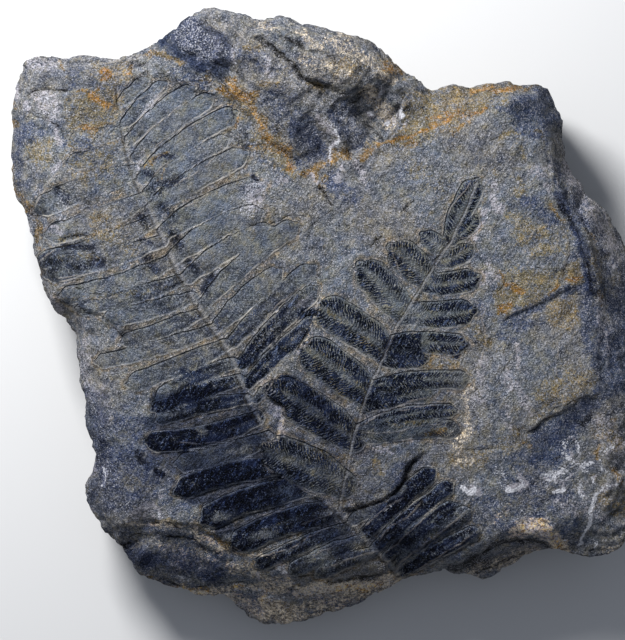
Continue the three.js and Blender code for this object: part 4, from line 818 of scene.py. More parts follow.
# Dark blue: partly the stone's own colour, partly painted shade on faces turned from the lamp, such as the
# right slope and the top mass's lower facets
BLUE = [
    ([(92, 410), (130, 405), (150, 430), (160, 470), (190, 510), (150, 518), (106, 524), (92, 500),
      (92, 410)], 14, 0.5), ([(560, 170), (590, 215), (612, 262)], 9, 0.5),
    ([(300, 470), (330, 480)], 10, 0.4), ([(300, 395), (340, 440)], 12, 0.35),
    ([(497, 108), (512, 98), (530, 91), (545, 87), (554, 100), (562, 114), (561, 128), (551, 128),
      (548, 140), (552, 158), (545, 148), (538, 139), (522, 138), (514, 128), (508, 118),
      (497, 108)], 4, 0.9),
    ([(512, 200), (522, 199), (534, 195), (546, 203), (553, 216), (562, 228), (548, 227), (538, 212),
      (524, 208), (512, 200)], 4, 0.85),
    ([(552, 160), (560, 164), (568, 186), (580, 204), (592, 226), (586, 230), (574, 220), (564, 204),
      (556, 185), (552, 160)], 4, 0.85),
    ([(570, 224), (578, 238), (584, 252), (590, 262), (590, 290), (584, 285), (581, 259), (570, 258),
      (571, 244), (570, 224)], 3, 1.0),
    ([(499, 322), (510, 311), (530, 304), (548, 297), (560, 288), (574, 284), (588, 282), (584, 292),
      (566, 297), (552, 301), (546, 308), (530, 315), (514, 320), (499, 322)], 3, 0.95),
    ([(583, 288), (592, 292), (604, 325), (612, 300), (618, 262), (640, 262), (655, 400), (606, 398),
      (594, 396), (597, 374), (591, 362), (583, 342), (579, 330), (580, 304), (583, 288)], 5, 1.0),
    ([(596, 246), (606, 300), (600, 330), (590, 300), (596, 246)], 4, 0.6),
    ([(605, 262), (608, 300), (610, 330)], 3, 0.7),
    ([(528, 434), (546, 419), (561, 414), (574, 403), (586, 397), (601, 396), (600, 408), (588, 416),
      (578, 428), (576, 444), (570, 458), (556, 468), (530, 464), (512, 456), (514, 450), (530, 449),
      (528, 434)], 5, 0.95),
    ([(515, 455), (560, 462), (575, 470), (570, 500), (540, 515), (510, 500), (500, 480),
      (515, 455)], 12, 0.65),
    ([(470, 495), (500, 490), (520, 500), (560, 498), (590, 505), (580, 545), (520, 545), (470, 530),
      (470, 495)], 14, 0.55),
    ([(292, 113), (306, 112), (314, 122), (322, 133), (329, 148), (328, 162), (308, 163), (299, 152),
      (290, 146), (287, 130), (292, 113)], 3, 1.0),
    ([(258, 92), (285, 88), (300, 100), (292, 118), (286, 140), (276, 130), (266, 110), (258, 92)], 7, 0.6),
    ([(298, 150), (330, 158), (330, 166), (306, 164), (300, 172), (296, 166), (298, 150)], 4, 0.65),
    ([(335, 102), (346, 100), (356, 112), (360, 128), (372, 140), (362, 148), (350, 152), (340, 140),
      (330, 120), (326, 110), (335, 102)], 4, 0.8),
    ([(322, 184), (336, 170), (342, 182), (352, 188), (362, 200), (345, 202), (330, 196),
      (322, 184)], 4, 0.9),
    ([(170, 70), (200, 66), (212, 84), (208, 96), (190, 90), (176, 84), (170, 70)], 5, 0.65),
    ([(402, 164), (408, 172)], 5, 0.6),
    ([(12, 128), (28, 119), (36, 128), (38, 138), (24, 143), (13, 146), (12, 128)], 4, 0.9),
    ([(16, 150), (20, 182)], 5, 0.65), ([(28, 213), (32, 220)], 3, 0.7),
    ([(66, 62), (78, 66), (81, 84), (78, 90), (68, 88), (66, 62)], 5, 0.65),
    ([(104, 92), (110, 101)], 4, 0.75),
    ([(72, 136), (98, 140), (100, 152), (80, 156), (70, 148), (72, 136)], 5, 0.55),
    ([(62, 136), (64, 145)], 2.2, 0.9), ([(40, 128), (44, 135)], 3, 0.7),
    ([(104, 530), (130, 528), (150, 522), (200, 528), (245, 556), (225, 584), (180, 588), (150, 584),
      (128, 566), (112, 545), (104, 530)], 6, 0.5),
    ([(122, 548), (150, 540), (160, 556), (158, 576), (140, 578), (126, 566), (122, 548)], 8, 0.8),
    ([(228, 592), (262, 592), (262, 620), (240, 612), (228, 592)], 8, 0.55),
    ([(390, 600), (345, 605), (290, 596)], 5, 0.4), ([(105, 440), (112, 480), (120, 510)], 14, 0.35),
    ([(165, 505), (195, 515)], 9, 0.4), ([(150, 385), (155, 400)], 8, 0.3), ([(184, 45), (200, 66)], 5, 0.4),
    ([(238, 55), (262, 62), (285, 75)], 9, 0.5), ([(335, 330), (348, 340)], 3, 0.3),
    ([(440, 555), (465, 545)], 8, 0.5), ([(505, 325), (540, 322)], 6, 0.5),
    ([(498, 338), (512, 338)], 5, 0.6), ([(476, 300), (484, 316)], 6, 0.4),
    ([(474, 420), (478, 445)], 6, 0.4), ([(405, 470), (395, 488)], 5, 0.6),
]
# Pale mica: partly the stone's own pale mineral, partly a painted highlight on facets turned to the lamp
PALE = [
    ([(568, 165), (585, 195), (604, 225), (618, 255)], 9, 0.4), ([(600, 300), (606, 350)], 8, 0.3),
    ([(600, 420), (622, 460)], 14, 0.3), ([(560, 505), (600, 515)], 12, 0.3),
    ([(530, 527), (556, 540)], 6, 0.5),
    ([(34, 95), (45, 90), (56, 93), (61, 102), (61, 118), (58, 125), (46, 121), (36, 110),
      (34, 95)], 3, 0.5), ([(24, 102), (28, 110)], 3, 0.8), ([(16, 86), (18, 96)], 3, 0.8),
    ([(30, 62), (50, 66)], 8, 0.4), ([(32, 92), (34, 98)], 4, 0.5),
    ([(168, 40), (176, 28), (190, 20), (198, 22), (214, 40), (218, 54), (212, 62), (200, 58), (184, 48),
      (168, 40)], 5, 0.25), ([(214, 40), (218, 58)], 3, 0.8), ([(234, 52), (234, 64)], 1.4, 0.9),
    ([(266, 60), (268, 74)], 2.5, 0.6),
    ([(247, 212), (248, 190), (256, 181), (266, 180), (264, 196), (256, 210), (247, 212)], 4, 0.7),
    ([(268, 184), (285, 180)], 4, 0.5), ([(318, 118), (328, 130)], 3.5, 0.8),
    ([(332, 134), (337, 142), (331, 148)], 2.2, 1.0), ([(330, 150), (330, 158)], 1.8, 0.8),
    ([(340, 166), (338, 182)], 3, 0.6), ([(358, 162), (366, 190)], 5, 0.4),
    ([(308, 176), (318, 183)], 2, 0.7), ([(401, 110), (402, 115)], 3.4, 1.0),
    ([(386, 121), (387, 123)], 2.8, 1.0), ([(368, 113), (374, 118)], 2.2, 0.9),
    ([(378, 98), (381, 90)], 2.4, 0.9), ([(393, 116), (393, 124)], 2.4, 0.7),
    ([(406, 123), (406, 125)], 2.2, 0.7), ([(494, 184), (494, 196), (492, 206), (500, 212)], 4.5, 0.7),
    ([(478, 226), (475, 238)], 2.2, 0.9), ([(485, 212), (482, 222)], 4, 0.6),
    ([(545, 185), (550, 192)], 3, 0.6), ([(535, 170), (548, 170)], 9, 0.35),
    ([(482, 280), (496, 276)], 7, 0.55), ([(488, 264), (490, 267)], 2.2, 0.9),
    ([(517, 342), (518, 366)], 3, 0.6), ([(505, 375), (512, 388)], 5, 0.6),
    ([(518, 385), (529, 412)], 6, 0.45), ([(505, 410), (510, 430)], 5, 0.4),
    ([(470, 489), (478, 491)], 4.5, 1.0), ([(512, 487), (520, 488)], 4.5, 1.0),
    ([(520, 474), (526, 486)], 3.5, 0.9), ([(543, 478), (549, 477)], 2, 1.0),
    ([(555, 477), (562, 481), (572, 478)], 2, 0.9), ([(555, 490), (562, 488)], 4, 1.0),
    ([(569, 438), (573, 441)], 2, 0.9), ([(571, 453), (573, 455)], 2, 1.0),
    ([(574, 459), (580, 465)], 3, 0.8), ([(582, 488), (590, 498)], 2.5, 0.8),
    ([(596, 477), (594, 481)], 2.2, 0.8), ([(604, 490), (615, 484)], 3, 0.5),
    ([(609, 236), (615, 246)], 2.5, 0.8), ([(612, 266), (613, 268)], 2.2, 0.8),
    ([(590, 210), (600, 216)], 6, 0.4), ([(58, 166), (53, 172)], 2.5, 0.8), ([(28, 226), (29, 238)], 2, 0.9),
    ([(55, 130), (58, 142)], 3, 0.8), ([(52, 228), (60, 232)], 7, 0.58), ([(55, 300), (60, 312)], 5, 0.58),
    ([(158, 508), (159, 516)], 1.8, 1.0), ([(153, 512), (154, 516)], 1.8, 0.8),
    ([(159, 495), (161, 497)], 1.8, 1.0), ([(135, 515), (150, 505)], 7, 0.58),
    ([(129, 524), (132, 520)], 1.8, 0.9), ([(188, 473), (190, 476)], 2.2, 0.8),
    ([(103, 470), (102, 485)], 2.5, 0.58), ([(87, 507), (92, 513)], 2.2, 0.7),
    ([(90, 472), (93, 464)], 3, 0.7), ([(278, 565), (284, 575)], 4.5, 0.6),
    ([(257, 575), (258, 582)], 2.2, 0.7), ([(374, 414), (366, 422)], 2.4, 0.4),
    ([(258, 378), (270, 392)], 4.5, 0.8), ([(274, 405), (280, 416)], 4.5, 0.7),
    ([(278, 426), (283, 434)], 2.4, 0.9), ([(300, 306), (310, 300)], 5, 0.58),
    ([(155, 100), (146, 112)], 4, 0.6), ([(143, 152), (136, 168)], 5, 0.35),
    ([(388, 452), (392, 456)], 3, 0.8), ([(376, 450), (384, 448)], 5, 0.58),
    ([(300, 350), (306, 346)], 3, 0.7), ([(484, 360), (478, 400)], 7, 0.4),
    ([(384, 508), (388, 505)], 3, 0.7), ([(123, 562), (124, 572)], 2.2, 0.8),
    ([(100, 390), (108, 420)], 9, 0.3), ([(84, 345), (88, 400)], 7, 0.4),
    ([(411, 437), (412, 438)], 2.2, 1.0), ([(474, 232), (474, 240)], 2.5, 0.6),
]
# Painted shade, brown-black, in the cracks, crevices and hollows and under the overhangs
HOLLOW_SHADE = [
    ([(259, 38), (270, 47), (282, 57), (292, 66), (302, 76), (308, 80)], 2.6, 0.9),
    ([(286, 40), (296, 45), (304, 49)], 2.4, 0.8), ([(320, 190), (328, 198)], 3.5, 0.6),
    ([(358, 98), (362, 92)], 2, 0.8), ([(366, 126), (374, 130), (380, 138)], 4, 0.6),
    ([(397, 100), (394, 110)], 2, 0.6), ([(560, 202), (566, 214), (574, 226)], 4.5, 0.7),
    ([(588, 262), (590, 285), (596, 296)], 2.2, 0.8), ([(482, 328), (488, 340), (478, 342)], 5, 0.6),
    ([(582, 423), (592, 414)], 3, 0.8), ([(552, 462), (566, 456)], 3, 0.5),
    ([(416, 456), (404, 478), (397, 490), (384, 499), (362, 507), (345, 512)], 2.5, 0.7),
    ([(455, 570), (470, 563), (490, 563)], 7, 0.85),
    ([(470, 562), (482, 554), (496, 546), (512, 542), (530, 541), (543, 544), (551, 549)], 2.6, 1.2),
    ([(478, 574), (494, 569), (508, 561), (524, 555)], 2, 0.9), ([(373, 98), (380, 110)], 2, 0.7),
    ([(131, 66), (145, 65)], 2.2, 0.9), ([(133, 79), (147, 71)], 1.8, 0.9),
    ([(120, 544), (126, 548)], 3, 0.8), ([(330, 583), (360, 579), (384, 577)], 3, 0.8),
    ([(222, 575), (200, 580)], 6, 0.4), ([(535, 478), (533, 484)], 4, 0.6),
    ([(540, 500), (552, 500)], 5, 0.4), ([(380, 238), (376, 244)], 3, 0.6),
    ([(404, 211), (410, 204)], 3, 0.6), ([(352, 96), (340, 90)], 3, 0.4),
    ([(410, 84), (416, 88), (424, 92)], 4, 0.5), ([(220, 78), (230, 80)], 3, 0.4),
]
CRYSTALS = [
    ([(464, 486), (470, 490), (476, 488), (471, 494)], 2.4, 1.2),
    ([(509, 489), (515, 491), (521, 487)], 2.2, 1.2), ([(517, 472), (522, 480), (526, 488)], 1.6, 0.9),
    ([(545, 479), (556, 478), (566, 479), (572, 477)], 1.6, 0.75),
    ([(541, 474), (560, 472), (566, 470)], 3.4, 0.7), ([(560, 452), (572, 462), (586, 470)], 5, 0.58),
    ([(563, 440), (568, 452)], 3, 0.6), ([(553, 491), (558, 490), (564, 489)], 2.4, 1.2),
    ([(569, 438), (575, 446), (580, 452)], 2, 0.6), ([(572, 458), (578, 463), (592, 464)], 3, 0.65),
    ([(580, 484), (584, 494), (588, 496)], 2.4, 0.8), ([(592, 478), (596, 484)], 2, 0.7),
    ([(595, 492), (594, 508), (590, 520), (585, 535), (581, 547)], 1.6, 1.2),
    ([(598, 458), (603, 468), (610, 478)], 1.3, 0.7), ([(594, 492), (612, 486), (620, 480)], 1.8, 0.5),
    ([(596, 548), (599, 542)], 1.5, 0.9), ([(605, 452), (614, 447)], 1.4, 0.7),
    ([(560, 543), (565, 542)], 1.5, 0.8), ([(522, 510), (523, 512)], 1.5, 0.8),
    ([(498, 470), (505, 482)], 7, 0.4), ([(536, 492), (537, 494)], 1.5, 0.7),
    ([(560, 505), (561, 506)], 1.5, 0.7), ([(570, 528), (520, 520)], 20, 0.2),
    ([(402, 108), (403, 117)], 2.4, 0.95), ([(386, 121), (388, 123)], 2.2, 0.95),
    ([(368, 113), (375, 117)], 1.7, 0.9), ([(380, 88), (379, 100)], 2, 0.7),
    ([(392, 112), (395, 124)], 2, 0.5), ([(334, 132), (338, 141), (336, 146)], 1.8, 0.95),
    ([(331, 147), (329, 158)], 1.5, 0.85), ([(103, 470), (102, 485)], 1.4, 0.6),
    ([(127, 524), (133, 520)], 1.4, 0.7), ([(158, 508), (159, 516)], 1.4, 0.8),
    ([(278, 568), (284, 574)], 3.5, 0.58), ([(392, 506), (386, 510)], 1.4, 0.6),
    ([(236, 590), (262, 594), (284, 600)], 7, 0.3), ([(176, 578), (188, 582)], 3, 0.5),
    ([(118, 556), (124, 570)], 1.6, 0.7),
]
# Painted glints: light specks where the mica catches the lamp
GLINTS = [
    ([(168, 40), (176, 28), (190, 20), (198, 22), (214, 40), (220, 56), (212, 62), (200, 58), (184, 48),
      (168, 40)], 3, 1.0), ([(192, 20), (197, 34)], 4, 1.0), ([(214, 44), (226, 54)], 5, 0.8),
    ([(234, 50), (235, 66)], 2, 1.0), ([(262, 56), (268, 66), (270, 78)], 4, 0.8),
    ([(278, 70), (296, 86)], 5, 0.58),
    ([(34, 96), (48, 92), (60, 104), (58, 122), (46, 120), (36, 110), (34, 96)], 4, 0.8),
    ([(24, 102), (28, 110)], 3, 0.9), ([(16, 86), (18, 96)], 3, 0.8), ([(30, 62), (60, 68)], 9, 0.4),
    ([(247, 212), (250, 190), (262, 182)], 7, 1.0), ([(264, 184), (272, 196), (280, 188)], 7, 0.58),
    ([(494, 184), (494, 200), (500, 212)], 6, 0.7), ([(478, 226), (475, 240)], 2.5, 0.9),
    ([(485, 212), (488, 230)], 6, 0.5), ([(488, 262), (492, 271)], 3, 0.7), ([(84, 470), (86, 496)], 4, 0.9),
    ([(91, 388), (93, 412)], 4, 0.7), ([(80, 350), (84, 372)], 4, 0.7),
    ([(100, 440), (108, 480), (118, 510)], 16, 0.3), ([(130, 505), (160, 512)], 10, 0.4),
    ([(318, 110), (326, 120), (334, 134)], 4, 0.9), ([(334, 100), (350, 122), (356, 140)], 6, 0.6),
    ([(568, 190), (600, 236), (616, 280)], 9, 0.4), ([(600, 250), (606, 330)], 9, 0.35),
    ([(30, 212), (30, 240)], 4, 0.7), ([(56, 130), (60, 144)], 3, 0.7), ([(340, 166), (338, 182)], 4, 0.7),
    ([(62, 200), (60, 216)], 6, 0.5), ([(500, 360), (515, 400)], 14, 0.45),
    ([(156, 84), (146, 112)], 5, 0.58), ([(236, 590), (262, 594), (284, 600)], 7, 0.4),
    ([(470, 520), (560, 505)], 20, 0.3), ([(600, 430), (620, 470)], 16, 0.3),
    ([(176, 578), (188, 582)], 3, 0.6), ([(300, 594), (340, 590), (390, 585)], 6, 1.0),
    ([(366, 100), (380, 104), (394, 112)], 6, 0.7), ([(150, 590), (200, 596), (262, 612)], 5, 0.8),
    ([(590, 494), (560, 470), (540, 480)], 12, 0.4), ([(92, 520), (104, 536)], 4, 0.6),
    ([(478, 386), (476, 412)], 8, 0.5), ([(376, 160), (470, 180)], 16, 0.25),
]
# Painted shade: broad stretches made darker and bluer, over the lower parts of both leaves, the left margin,
# the top-left facet and other spots
PAINTED_SHADE = [
    ([(176, 30), (196, 44), (212, 56)], 24, 1.3), ([(84, 500), (98, 450), (92, 400)], 20, 0.6),
    ([(104, 150), (90, 190), (84, 236), (108, 262)], 20, 0.4), ([(30, 230), (44, 290)], 12, 0.4),
    ([(128, 560), (170, 560), (215, 575)], 14, 0.7), ([(60, 120), (90, 150)], 18, 0.3),
    ([(248, 190), (262, 196)], 8, 0.4), ([(100, 505), (130, 500), (150, 490)], 16, 0.5),
    ([(20, 120), (16, 170), (28, 210)], 10, 0.4), ([(158, 400), (200, 396), (238, 392)], 10, 0.8),
    ([(150, 424), (200, 424), (250, 414)], 10, 0.9), ([(150, 462), (200, 448), (256, 436)], 10, 0.95),
    ([(176, 470), (230, 468), (270, 452)], 10, 0.9), ([(190, 494), (230, 505), (296, 490)], 12, 1.0),
    ([(205, 486), (225, 492)], 8, 1.0), ([(220, 530), (270, 520), (320, 505)], 10, 0.8),
    ([(300, 350), (296, 372), (262, 400)], 8, 0.4),
    ([(560, 196), (568, 214), (578, 236), (588, 262), (592, 290)], 7, 0.7),
    ([(95, 430), (150, 398), (235, 388), (300, 365), (340, 365), (400, 380), (460, 392), (466, 416),
      (445, 450), (405, 505), (436, 505), (420, 540), (330, 548), (250, 538), (170, 505), (100, 490),
      (95, 430)], 20, 0.5), ([(176, 456), (240, 470), (290, 508), (340, 540)], 22, 0.85),
    ([(300, 400), (322, 410), (335, 440), (330, 460)], 22, 0.65), ([(100, 445), (112, 490)], 18, 0.7),
    ([(88, 420), (86, 500)], 16, 0.4), ([(205, 500), (250, 490), (290, 480)], 14, 0.8),
    ([(28, 62), (120, 60), (124, 110), (112, 132), (72, 132), (60, 84), (30, 90), (28, 62)], 12, 0.45),
    ([(222, 20), (236, 40), (252, 54)], 9, 0.35), ([(262, 84), (290, 96)], 14, 0.4),
    ([(296, 125), (316, 150)], 12, 0.5), ([(380, 350), (420, 352)], 20, 0.5),
    ([(372, 400), (455, 395)], 20, 0.45), ([(400, 500), (380, 540), (440, 540)], 20, 0.6),
    ([(470, 560), (520, 552), (540, 548)], 6, 0.4), ([(540, 450), (565, 430), (590, 405)], 12, 0.5),
    ([(570, 470), (555, 500)], 12, 0.35),
]
TAN = [
    ([(176, 590), (200, 594), (216, 596)], 4, 0.8),
    ([(212, 592), (235, 590), (262, 588), (288, 590)], 5, 0.7),
    ([(262, 600), (280, 612), (284, 624)], 8, 0.8),
    ([(300, 593), (340, 589), (372, 585), (396, 582)], 7, 1.1),
    ([(290, 623), (330, 613), (346, 609)], 2.5, 0.7), ([(255, 575), (270, 582), (290, 584)], 5, 0.58),
    ([(128, 526), (150, 523), (170, 524), (195, 532), (214, 542), (236, 552), (256, 558),
      (276, 556)], 2.5, 0.7), ([(196, 536), (210, 544), (222, 552)], 4, 0.6),
    ([(228, 566), (254, 570)], 7, 0.58),
    ([(518, 532), (530, 523), (543, 526), (550, 535), (560, 546), (566, 554)], 8, 1.3),
    ([(330, 40), (352, 52), (372, 68), (392, 80)], 8, 0.45), ([(300, 34), (320, 50)], 6, 0.5),
    ([(368, 92), (380, 106), (390, 122)], 8, 0.9), ([(474, 574), (500, 564), (534, 552)], 8, 0.5),
    ([(512, 538), (530, 532), (542, 537)], 4, 0.9), ([(500, 573), (515, 562), (530, 554)], 2, 0.6),
    ([(606, 553), (625, 545)], 4, 0.5), ([(276, 400), (284, 412), (278, 436), (264, 443)], 2.6, 0.7),
    ([(470, 385), (465, 400), (468, 424), (462, 440), (455, 462)], 4, 0.55),
    ([(455, 448), (470, 462)], 6, 0.4), ([(322, 284), (318, 308), (300, 350)], 2, 0.5),
    ([(345, 512), (384, 500)], 3, 0.4), ([(495, 520), (512, 505)], 4, 0.35),
    ([(150, 592), (200, 597), (232, 600), (262, 615), (300, 612), (345, 600), (392, 585)], 8, 0.6),
    ([(165, 545), (205, 548), (220, 566), (200, 578), (172, 570), (165, 545)], 7, 0.4),
    ([(150, 534), (166, 556)], 4, 0.4), ([(340, 30), (352, 44), (346, 54)], 3, 0.4),
    ([(256, 26), (275, 30)], 4, 0.4), ([(300, 60), (345, 72)], 8, 0.35),
]


def stroke_cover(strokes, at):
    """How strongly the strokes colour each place, from 0 to 1."""
    amount = np.zeros(len(at))
    for line, half_width, strength in strokes:
        reach = half_width * MM_PER_PIXEL
        near = near_to(in_mm(line), at, 1.5 * reach)
        distance = nearest_on(in_mm(line), at[near])[0] / reach
        if line[0] == line[-1]:
            cover = smooth_step(np.where(within(in_mm(line), at[near]), distance, -distance), -1.2, 1.2)
        else:
            cover = 1 - smooth_step(distance, 0.3, 1.4)
        amount[near] = np.maximum(amount[near], strength * cover)
    return amount


leaf_marks["film"] = np.maximum(leaf_marks["film"], stroke_cover(FILM_SMEARS, leaf_at))
leaf_marks["film"] *= 1 - stroke_cover(FILM_GAPS, leaf_at)

# The face takes its heights and the marks that the material reads, its edge goes down in rings to make the
# walls, and rings inward make the underside. Each wall point remembers the rim point above it.
WALL_RINGS = 13
WALL_TAPER = ([0, 0.2, 0.27, 0.58, 0.65, 1], [0, 0.003, 0.018, 0.014, 0.034, 0.045])  # share down, share in
WALL_BED = 2.4  # mm
WALL_STEP = 2.4  # mm that one bed may stand in from the next
WALL_GRIT = 0.6  # mm
BED_WANDER = 25  # mm along the wall over which beds rise and fall
STEP_LENGTH = 10  # mm along the wall over which a step grows and shrinks
BED_JUMP = 3.7  # keeps one bed's steps unlike the next one's
UNDERSIDE_RINGS = [0.96, 0.86, 0.7, 0.5, 0.28]
UNDERSIDE_HOLLOW = 1.0  # mm
UNDERSIDE_MERGE = 0.8  # mm
TOP_GAP = 0.05  # mm between the highest point and the top of the box
METRES_PER_MM = 0.001
height = np.minimum(height, high.z * 1000 - TOP_GAP)
for vert, vert_height in zip(slab.verts, height):
    vert.co.z = vert_height
marks = dict(leaf_marks, broken=broken, upper_bed=on_upper_bed.astype(float), crack_off=crack_off,
             crack_open=crack_open, ridge_off=ridge_off, ridge_up=ridge_up, under_rim=np.zeros(len(at)))
for name, values in marks.items():
    layer = slab.verts.layers.float.new(name)
    for vert, value in zip(slab.verts, values):
        vert[layer] = value
rim_above = slab.verts.layers.float_vector.new("rim_above")
ring = [edge for edge in slab.edges if edge.is_boundary]
for vert in {vert for edge in ring for vert in edge.verts}:
    vert[rim_above] = vert.co


def wall_place(rim, share):
    """A place in the wall, a share of the way down under a rim point, set in by its bed's own step."""
    z = rim.z * (1 - share)
    bed = np.floor(z / WALL_BED + 0.8 * noise.noise(rim / BED_WANDER))
    step = WALL_STEP * abs(noise.noise((rim.x / STEP_LENGTH, rim.y / STEP_LENGTH, BED_JUMP * bed)))
    grit = WALL_GRIT * abs(noise.fractal((rim.x / 4, rim.y / 4, z / 3), 1, 2, 4))
    radius = np.hypot(rim.x, rim.y)
    inward = radius * np.interp(share, *WALL_TAPER) + (step + grit) * min(1, 8 * share)
    return Vector((*(rim.xy * (1 - inward / radius)), z))


for level in range(1, WALL_RINGS + 1):
    drawn = bmesh.ops.extrude_edge_only(slab, edges=ring)["geom"]
    ring = [part for part in drawn if isinstance(part, bmesh.types.BMEdge)]
    for vert in {vert for edge in ring for vert in edge.verts}:
        vert.co = wall_place(vert[rim_above], level / WALL_RINGS)
        # The walls are broken stone all over, and the face's own marks end at the rim.
        for name in marks:
            vert[slab.verts.layers.float[name]] = float(name == "broken")
        vert[slab.verts.layers.float["under_rim"]] = vert[rim_above].z - vert.co.z
for share_before, share in zip([1, *UNDERSIDE_RINGS], UNDERSIDE_RINGS):
    drawn = bmesh.ops.extrude_edge_only(slab, edges=ring)["geom"]
    ring = [part for part in drawn if isinstance(part, bmesh.types.BMEdge)]
    loop = list({vert for edge in ring for vert in edge.verts})
    bmesh.ops.scale(slab, vec=(share / share_before, share / share_before, 1), verts=loop)
    for vert in loop:
        vert.co.z = UNDERSIDE_HOLLOW * (1 - share) * (1 + noise.noise(vert.co / 12))
    bmesh.ops.remove_doubles(slab, verts=loop, dist=UNDERSIDE_MERGE)
    ring = [edge for edge in slab.edges if edge.is_boundary]
bmesh.ops.edgeloop_fill(slab, edges=ring)
bmesh.ops.triangulate(slab, faces=[face for face in slab.faces if len(face.verts) > 4])
bmesh.ops.recalc_face_normals(slab, faces=slab.faces)
slab.verts.layers.float_vector.remove(rim_above)
bmesh.ops.scale(slab, vec=(METRES_PER_MM,) * 3, verts=slab.verts)
for face in slab.faces:
    face.smooth = True
slab_mesh = bpy.data.meshes.new("fern_slab")
slab.to_mesh(slab_mesh)
slab.free()

# Stains of the face, and its painted shade and painted highlights, run a few millimetres down the walls.
STAIN_AND_SHADE_RUN = 6  # mm
STAINS_AND_PAINTED_LIGHT = dict(rust=RUST, ochre=OCHRE, tan=TAN, blue=BLUE, pale=PALE, hollow_shade=HOLLOW_SHADE, crystals=CRYSTALS,
              glints=GLINTS, painted_shade=PAINTED_SHADE)
places = np.array([vert.co for vert in slab_mesh.vertices]) * 1000
ragged = wandering(places[:, :2], 1.3, 5, 90.0)
under_rim = np.zeros(len(places))
slab_mesh.attributes["under_rim"].data.foreach_get("value", under_rim)
reached = 1 - smooth_step(under_rim * (1 + rough(places[:, :2], 6, 3, 92.0)), 0.5, STAIN_AND_SHADE_RUN)
for name, strokes in STAINS_AND_PAINTED_LIGHT.items():
    mark_layer = slab_mesh.attributes.new(name, "FLOAT", "POINT")
    mark_layer.data.foreach_set("value", stroke_cover(strokes, ragged) * reached)


def linear(hex_colour):
    """An sRGB hex colour as linear red, green and blue with full alpha."""
    shares = [int(hex_colour[place:place + 2], 16) / 255 for place in (1, 3, 5)]
    return [share / 12.92 if share < 0.04045 else ((share + 0.055) / 1.055) ** 2.4 for share in shares] + [1]


# Slate split along its bedding: a dull grey stone, mottled warm and cold, with fine mica that glints. The
# carbon film of the leaves is blue-black and smoother, so it takes the light in a thin gleam.
slate = bpy.data.materials.new("split_slate")
slate.use_nodes = True
tree = slate.node_tree
tree.nodes.remove(tree.nodes["Principled BSDF"])


def add(kind, inputs=(), out=0, **settings):
    """Adds a node and returns an output. inputs are values or other outputs, by input name or number."""
    made = tree.nodes.new("ShaderNode" + kind)
    for name, value in settings.items():
        setattr(made, name, value)
    for name, value in dict(inputs).items():
        if isinstance(value, bpy.types.NodeSocket):
            tree.links.new(value, made.inputs[name])
        else:
            made.inputs[name].default_value = value
    return made.outputs[out]


mark = {name: add("Attribute", out="Fac", attribute_name=name) for name in [*marks, *STAINS_AND_PAINTED_LIGHT]}
places_in_mm = add("VectorMath", {0: add("TexCoord", out="Object"), "Scale": 1000}, operation="SCALE")

# Patterns are drawn out along the slate's grain, along the beds and along the splinters: degrees, and how
# many times longer than wide.
drawn_along = {}
for name, turn, stretch in [("fabric", 58, (3, 1, 1)), ("beds", 0, (12, 12, 1)),
                            ("splinters", -50, (6, 1, 1))]:
    drawn_along[name] = add("Mapping", {"Vector": places_in_mm, "Rotation": (0, 0, np.radians(turn)),
                                        "Scale": stretch}, vector_type="TEXTURE")


def grain(size, detail=4, roughness=0.6, seed=0.0, places=places_in_mm):
    """Noise about 0.5 whose lumps are size mm across."""
    shifted = add("VectorMath", {0: places, 1: (seed, seed, seed)}, operation="ADD")
    return add("TexNoise", {"Vector": shifted, "Scale": 1 / size, "Detail": detail, "Roughness": roughness})


def swing(amount, *pattern):
    """The same noise about 0, from amount below it to amount above it at most."""
    return add("Math", {0: grain(*pattern), 1: amount, 2: -amount / 2}, operation="MULTIPLY_ADD")


def fade(pattern, start, end, low=0.0, high=1.0, where=1.0):
    """Goes softly from low to high as a pattern goes from start to end, times how much it counts there."""
    passed = add("MapRange", {"Value": pattern, "From Min": start, "From Max": end, "To Min": low,
                              "To Max": high}, interpolation_type="SMOOTHSTEP")
    return add("Math", {0: passed, 1: where}, operation="MULTIPLY")


def coat(under, colour, amount, most=1.0, how="MIX"):
    """Lays a colour over what is under it. An amount of 1 covers it as far as most allows."""
    cover = add("Math", {0: amount, 1: most}, operation="MULTIPLY")
    return add("Mix", {0: cover, 6: under, 7: colour}, out=2, data_type="RGBA", blend_type=how)


